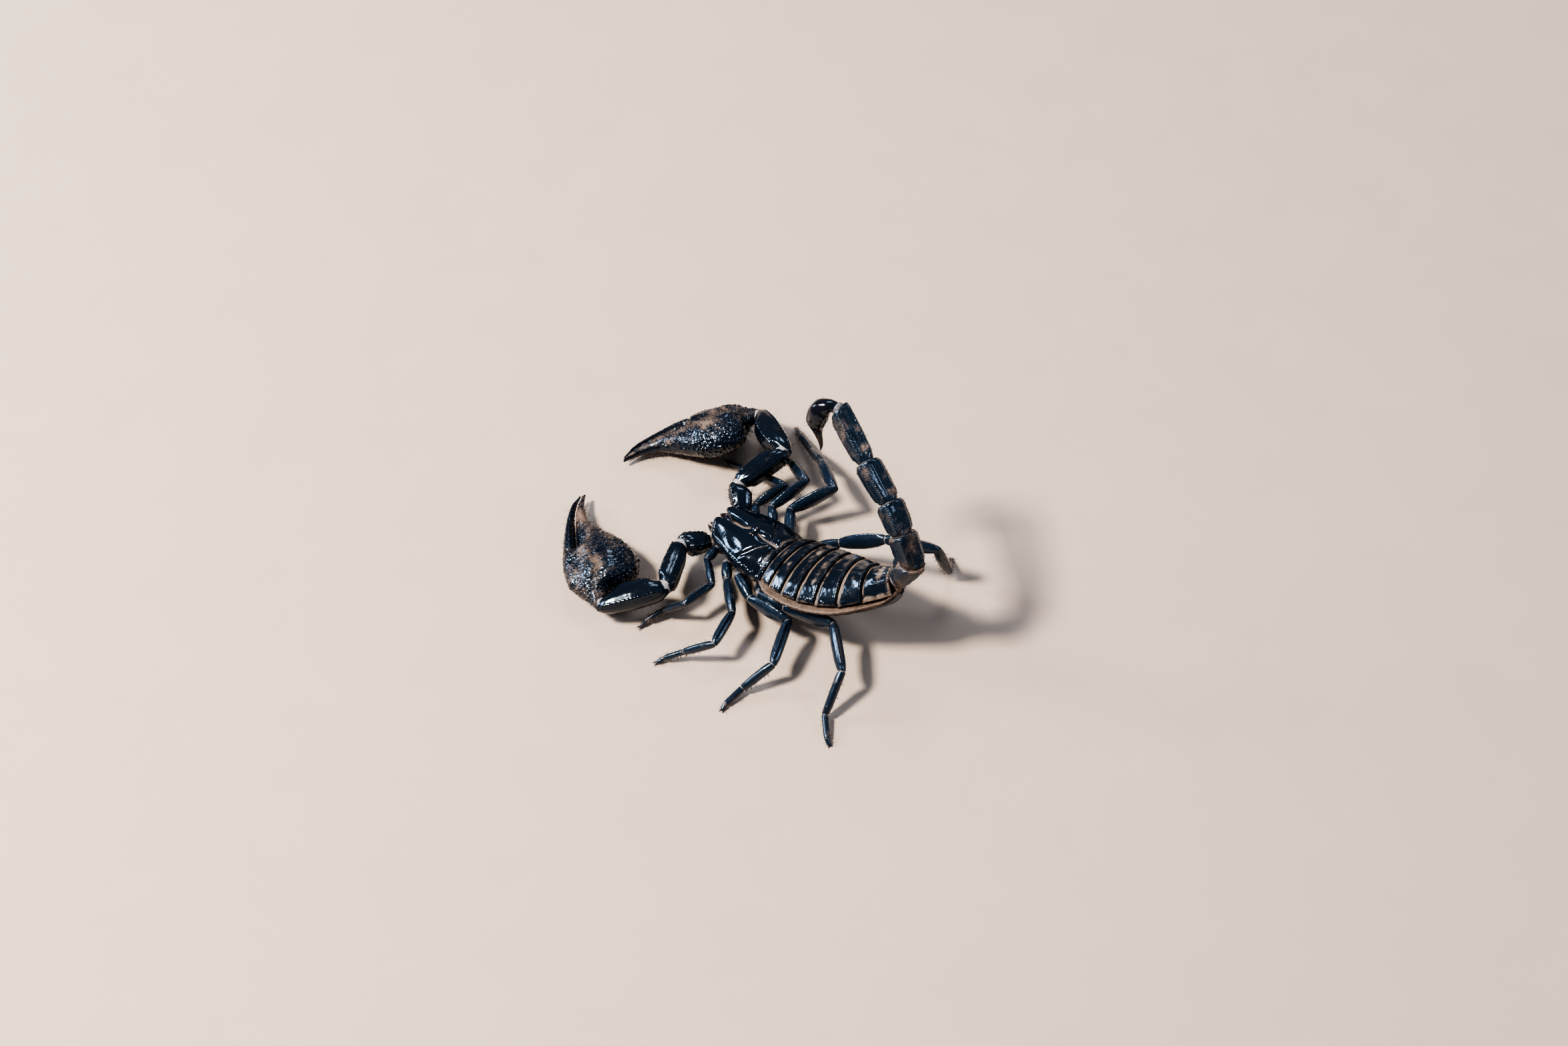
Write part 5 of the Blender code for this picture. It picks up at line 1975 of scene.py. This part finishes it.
@dataclass
class Studio:
    """A plain pale floor, soft light and the camera."""

    target: Vector = field(default_factory=lambda: Vector((-14.75, -2.09, 0.0)))
    eye: Vector = field(default_factory=lambda: Vector((511.35, 380.21, 895.1)))
    lens: float = 100.0
    lamps: tuple = (("key_light", (0.54, -0.49, 1.0), 1.1, 0.17, 25.0, (1.0, 0.95, 0.88)),
                    ("fill_light", (-0.6, 0.9, 0.9), 1.4, 0.34, 4.0, (0.72, 0.83, 1.0)),
                    ("front_light", (0.31, -0.86, 0.42), 1.1, 0.26, 6.5, (0.66, 0.8, 1.0)),
                    ("top_light", (-0.7, -0.5, 1.1), 1.3, 0.4, 4.0, (0.8, 0.88, 1.0)))

    def floor(self) -> None:
        """A wide floor with a barely uneven surface."""
        obj = Bench.start("studio_floor", bpy.ops.mesh.primitive_plane_add, size=8.0)
        bpy.ops.object.mode_set(mode="EDIT")
        bpy.ops.mesh.select_all(action="SELECT")
        bpy.ops.mesh.subdivide(number_cuts=6)
        bpy.ops.object.mode_set(mode="OBJECT")
        dress(obj, PlainFinish("floor_paper", (0.46, 0.355, 0.28, 1.0), (0.5, 0.39, 0.31, 1.0), 0.85,
                               60.0, 0.0001).material())

    def lamp(self, name: str, way: tuple[float, float, float], distance: float, size: float, power: float,
             colour: tuple[float, float, float]) -> None:
        """A square soft light looking at the animal.

        Args:
            name: Name of the light.
            way: The direction it stands in.
            distance: Its distance in metres.
            size: Its edge in metres.
            power: Its power in watts.
            colour: Its colour.
        """
        data = bpy.data.lights.new(name, "AREA")
        data.shape = "SQUARE"
        data.size = size
        data.energy = power
        data.color = colour
        obj = Bench.show(name, data)
        place = Vector(way).normalized() * distance
        obj.location = place
        obj.rotation_euler = (-place).to_track_quat("-Z", "Y").to_euler()

    def build(self) -> None:
        """Builds floor, lights, surroundings and camera."""
        self.floor()
        for row in self.lamps:
            self.lamp(*row)
        world = bpy.data.worlds.new("studio_air")
        bpy.context.scene.world = world
        world.use_nodes = True
        air = world.node_tree.nodes["Background"]
        air.inputs["Color"].default_value = (0.7, 0.8, 1.0, 1.0)
        air.inputs["Strength"].default_value = 0.24
        bpy.context.scene.view_settings.look = "AgX - High Contrast"
        data = bpy.data.cameras.new("camera")
        data.lens = self.lens
        data.sensor_width = 36.0
        data.clip_start = 0.01
        data.clip_end = 20.0
        camera = Bench.show("camera", data)
        camera.location = self.eye * MM
        camera.rotation_euler = ((self.target - self.eye) * MM).to_track_quat("-Z", "Y").to_euler()
        bpy.context.scene.camera = camera


LEG_BUILDS = {                 # per pair: segment lengths, thickness, and the root ahead, aside and above
    1: ((4.2, 8.4, 8.6, 7.6, 4.4), 0.88, (16.0, 6.8, 7.4)),
    2: ((5.2, 10.8, 9.8, 8.8, 5.2), 0.98, (11.0, 8.4, 7.6)),
    3: ((7.4, 12.2, 12.2, 9.8, 5.8), 1.1, (6.0, 9.3, 8.0)),
    4: ((7.8, 14.4, 13.0, 11.5, 6.4), 1.12, (-1.2, 9.1, 7.3)),
}
LEG_POSES = {
    (Side.LEFT, 1): ((0, 0), (45, 7), (-14, -3), (-66, -40), (-30, -18), (-15, -35)),
    (Side.LEFT, 2): ((38, 0), (43, 6), (9, -5), (-58, -30), (-50, -24), (-32, -28)),
    (Side.LEFT, 3): ((60, -1), (86, 5), (18, -9), (-28, -32), (-10, -9), (5, -26)),
    (Side.LEFT, 4): ((90, 4), (94.5, 12.5), (45, -9), (9, -38), (40, -8), (60, -26)),
    (Side.RIGHT, 1): ((-150, -3), (158, 14), (-103, -28), (-98, -22), (-90, -16), (-112, -26)),
    (Side.RIGHT, 2): ((-141, 4), (161, 16), (-120, -22), (-116, -32), (-118, -14), (-122, -28)),
    (Side.RIGHT, 3): ((-146, -4), (142, 24), (-130, -18), (-124, -33), (-118, -12), (-128, -25)),
    (Side.RIGHT, 4): ((135, 12), (104, 33), (116, -6), (150, -72), (210, -34), (200, -30)),
}
ARM_POSES = {Side.LEFT: ((-34, 12), (20, 4), (-44, -12), (-137, -4)),
             Side.RIGHT: ((-137, 14), (161, 14), (-121, -14), (-37, -8))}
HAND_ROLLS = {Side.LEFT: 6.0, Side.RIGHT: 29.0}


def main() -> None:
    """Builds the animal and its studio, and logs each piece's face count."""
    logging.basicConfig(level=logging.INFO, format="%(message)s")
    wardrobe = Wardrobe()
    back = Back()
    bellows = Bellows()
    prosoma = Prosoma(wardrobe)
    prosoma.build()
    Mesosoma(back, wardrobe).build()
    Metasoma(back, wardrobe, bellows).build()
    for side in Side:
        Pedipalp(side, prosoma, wardrobe, bellows, ARM_POSES[side], HAND_ROLLS[side]).build()
    kit = LegKit()
    for side in Side:
        for pair, sizes in LEG_BUILDS.items():
            WalkingLeg(side, pair, prosoma, wardrobe, bellows, kit, LEG_POSES[(side, pair)], *sizes).build()
    kit.put_away()
    bellows.put_away()
    Studio().build()
    bpy.context.view_layer.update()


if __name__ == "__main__":
    main()
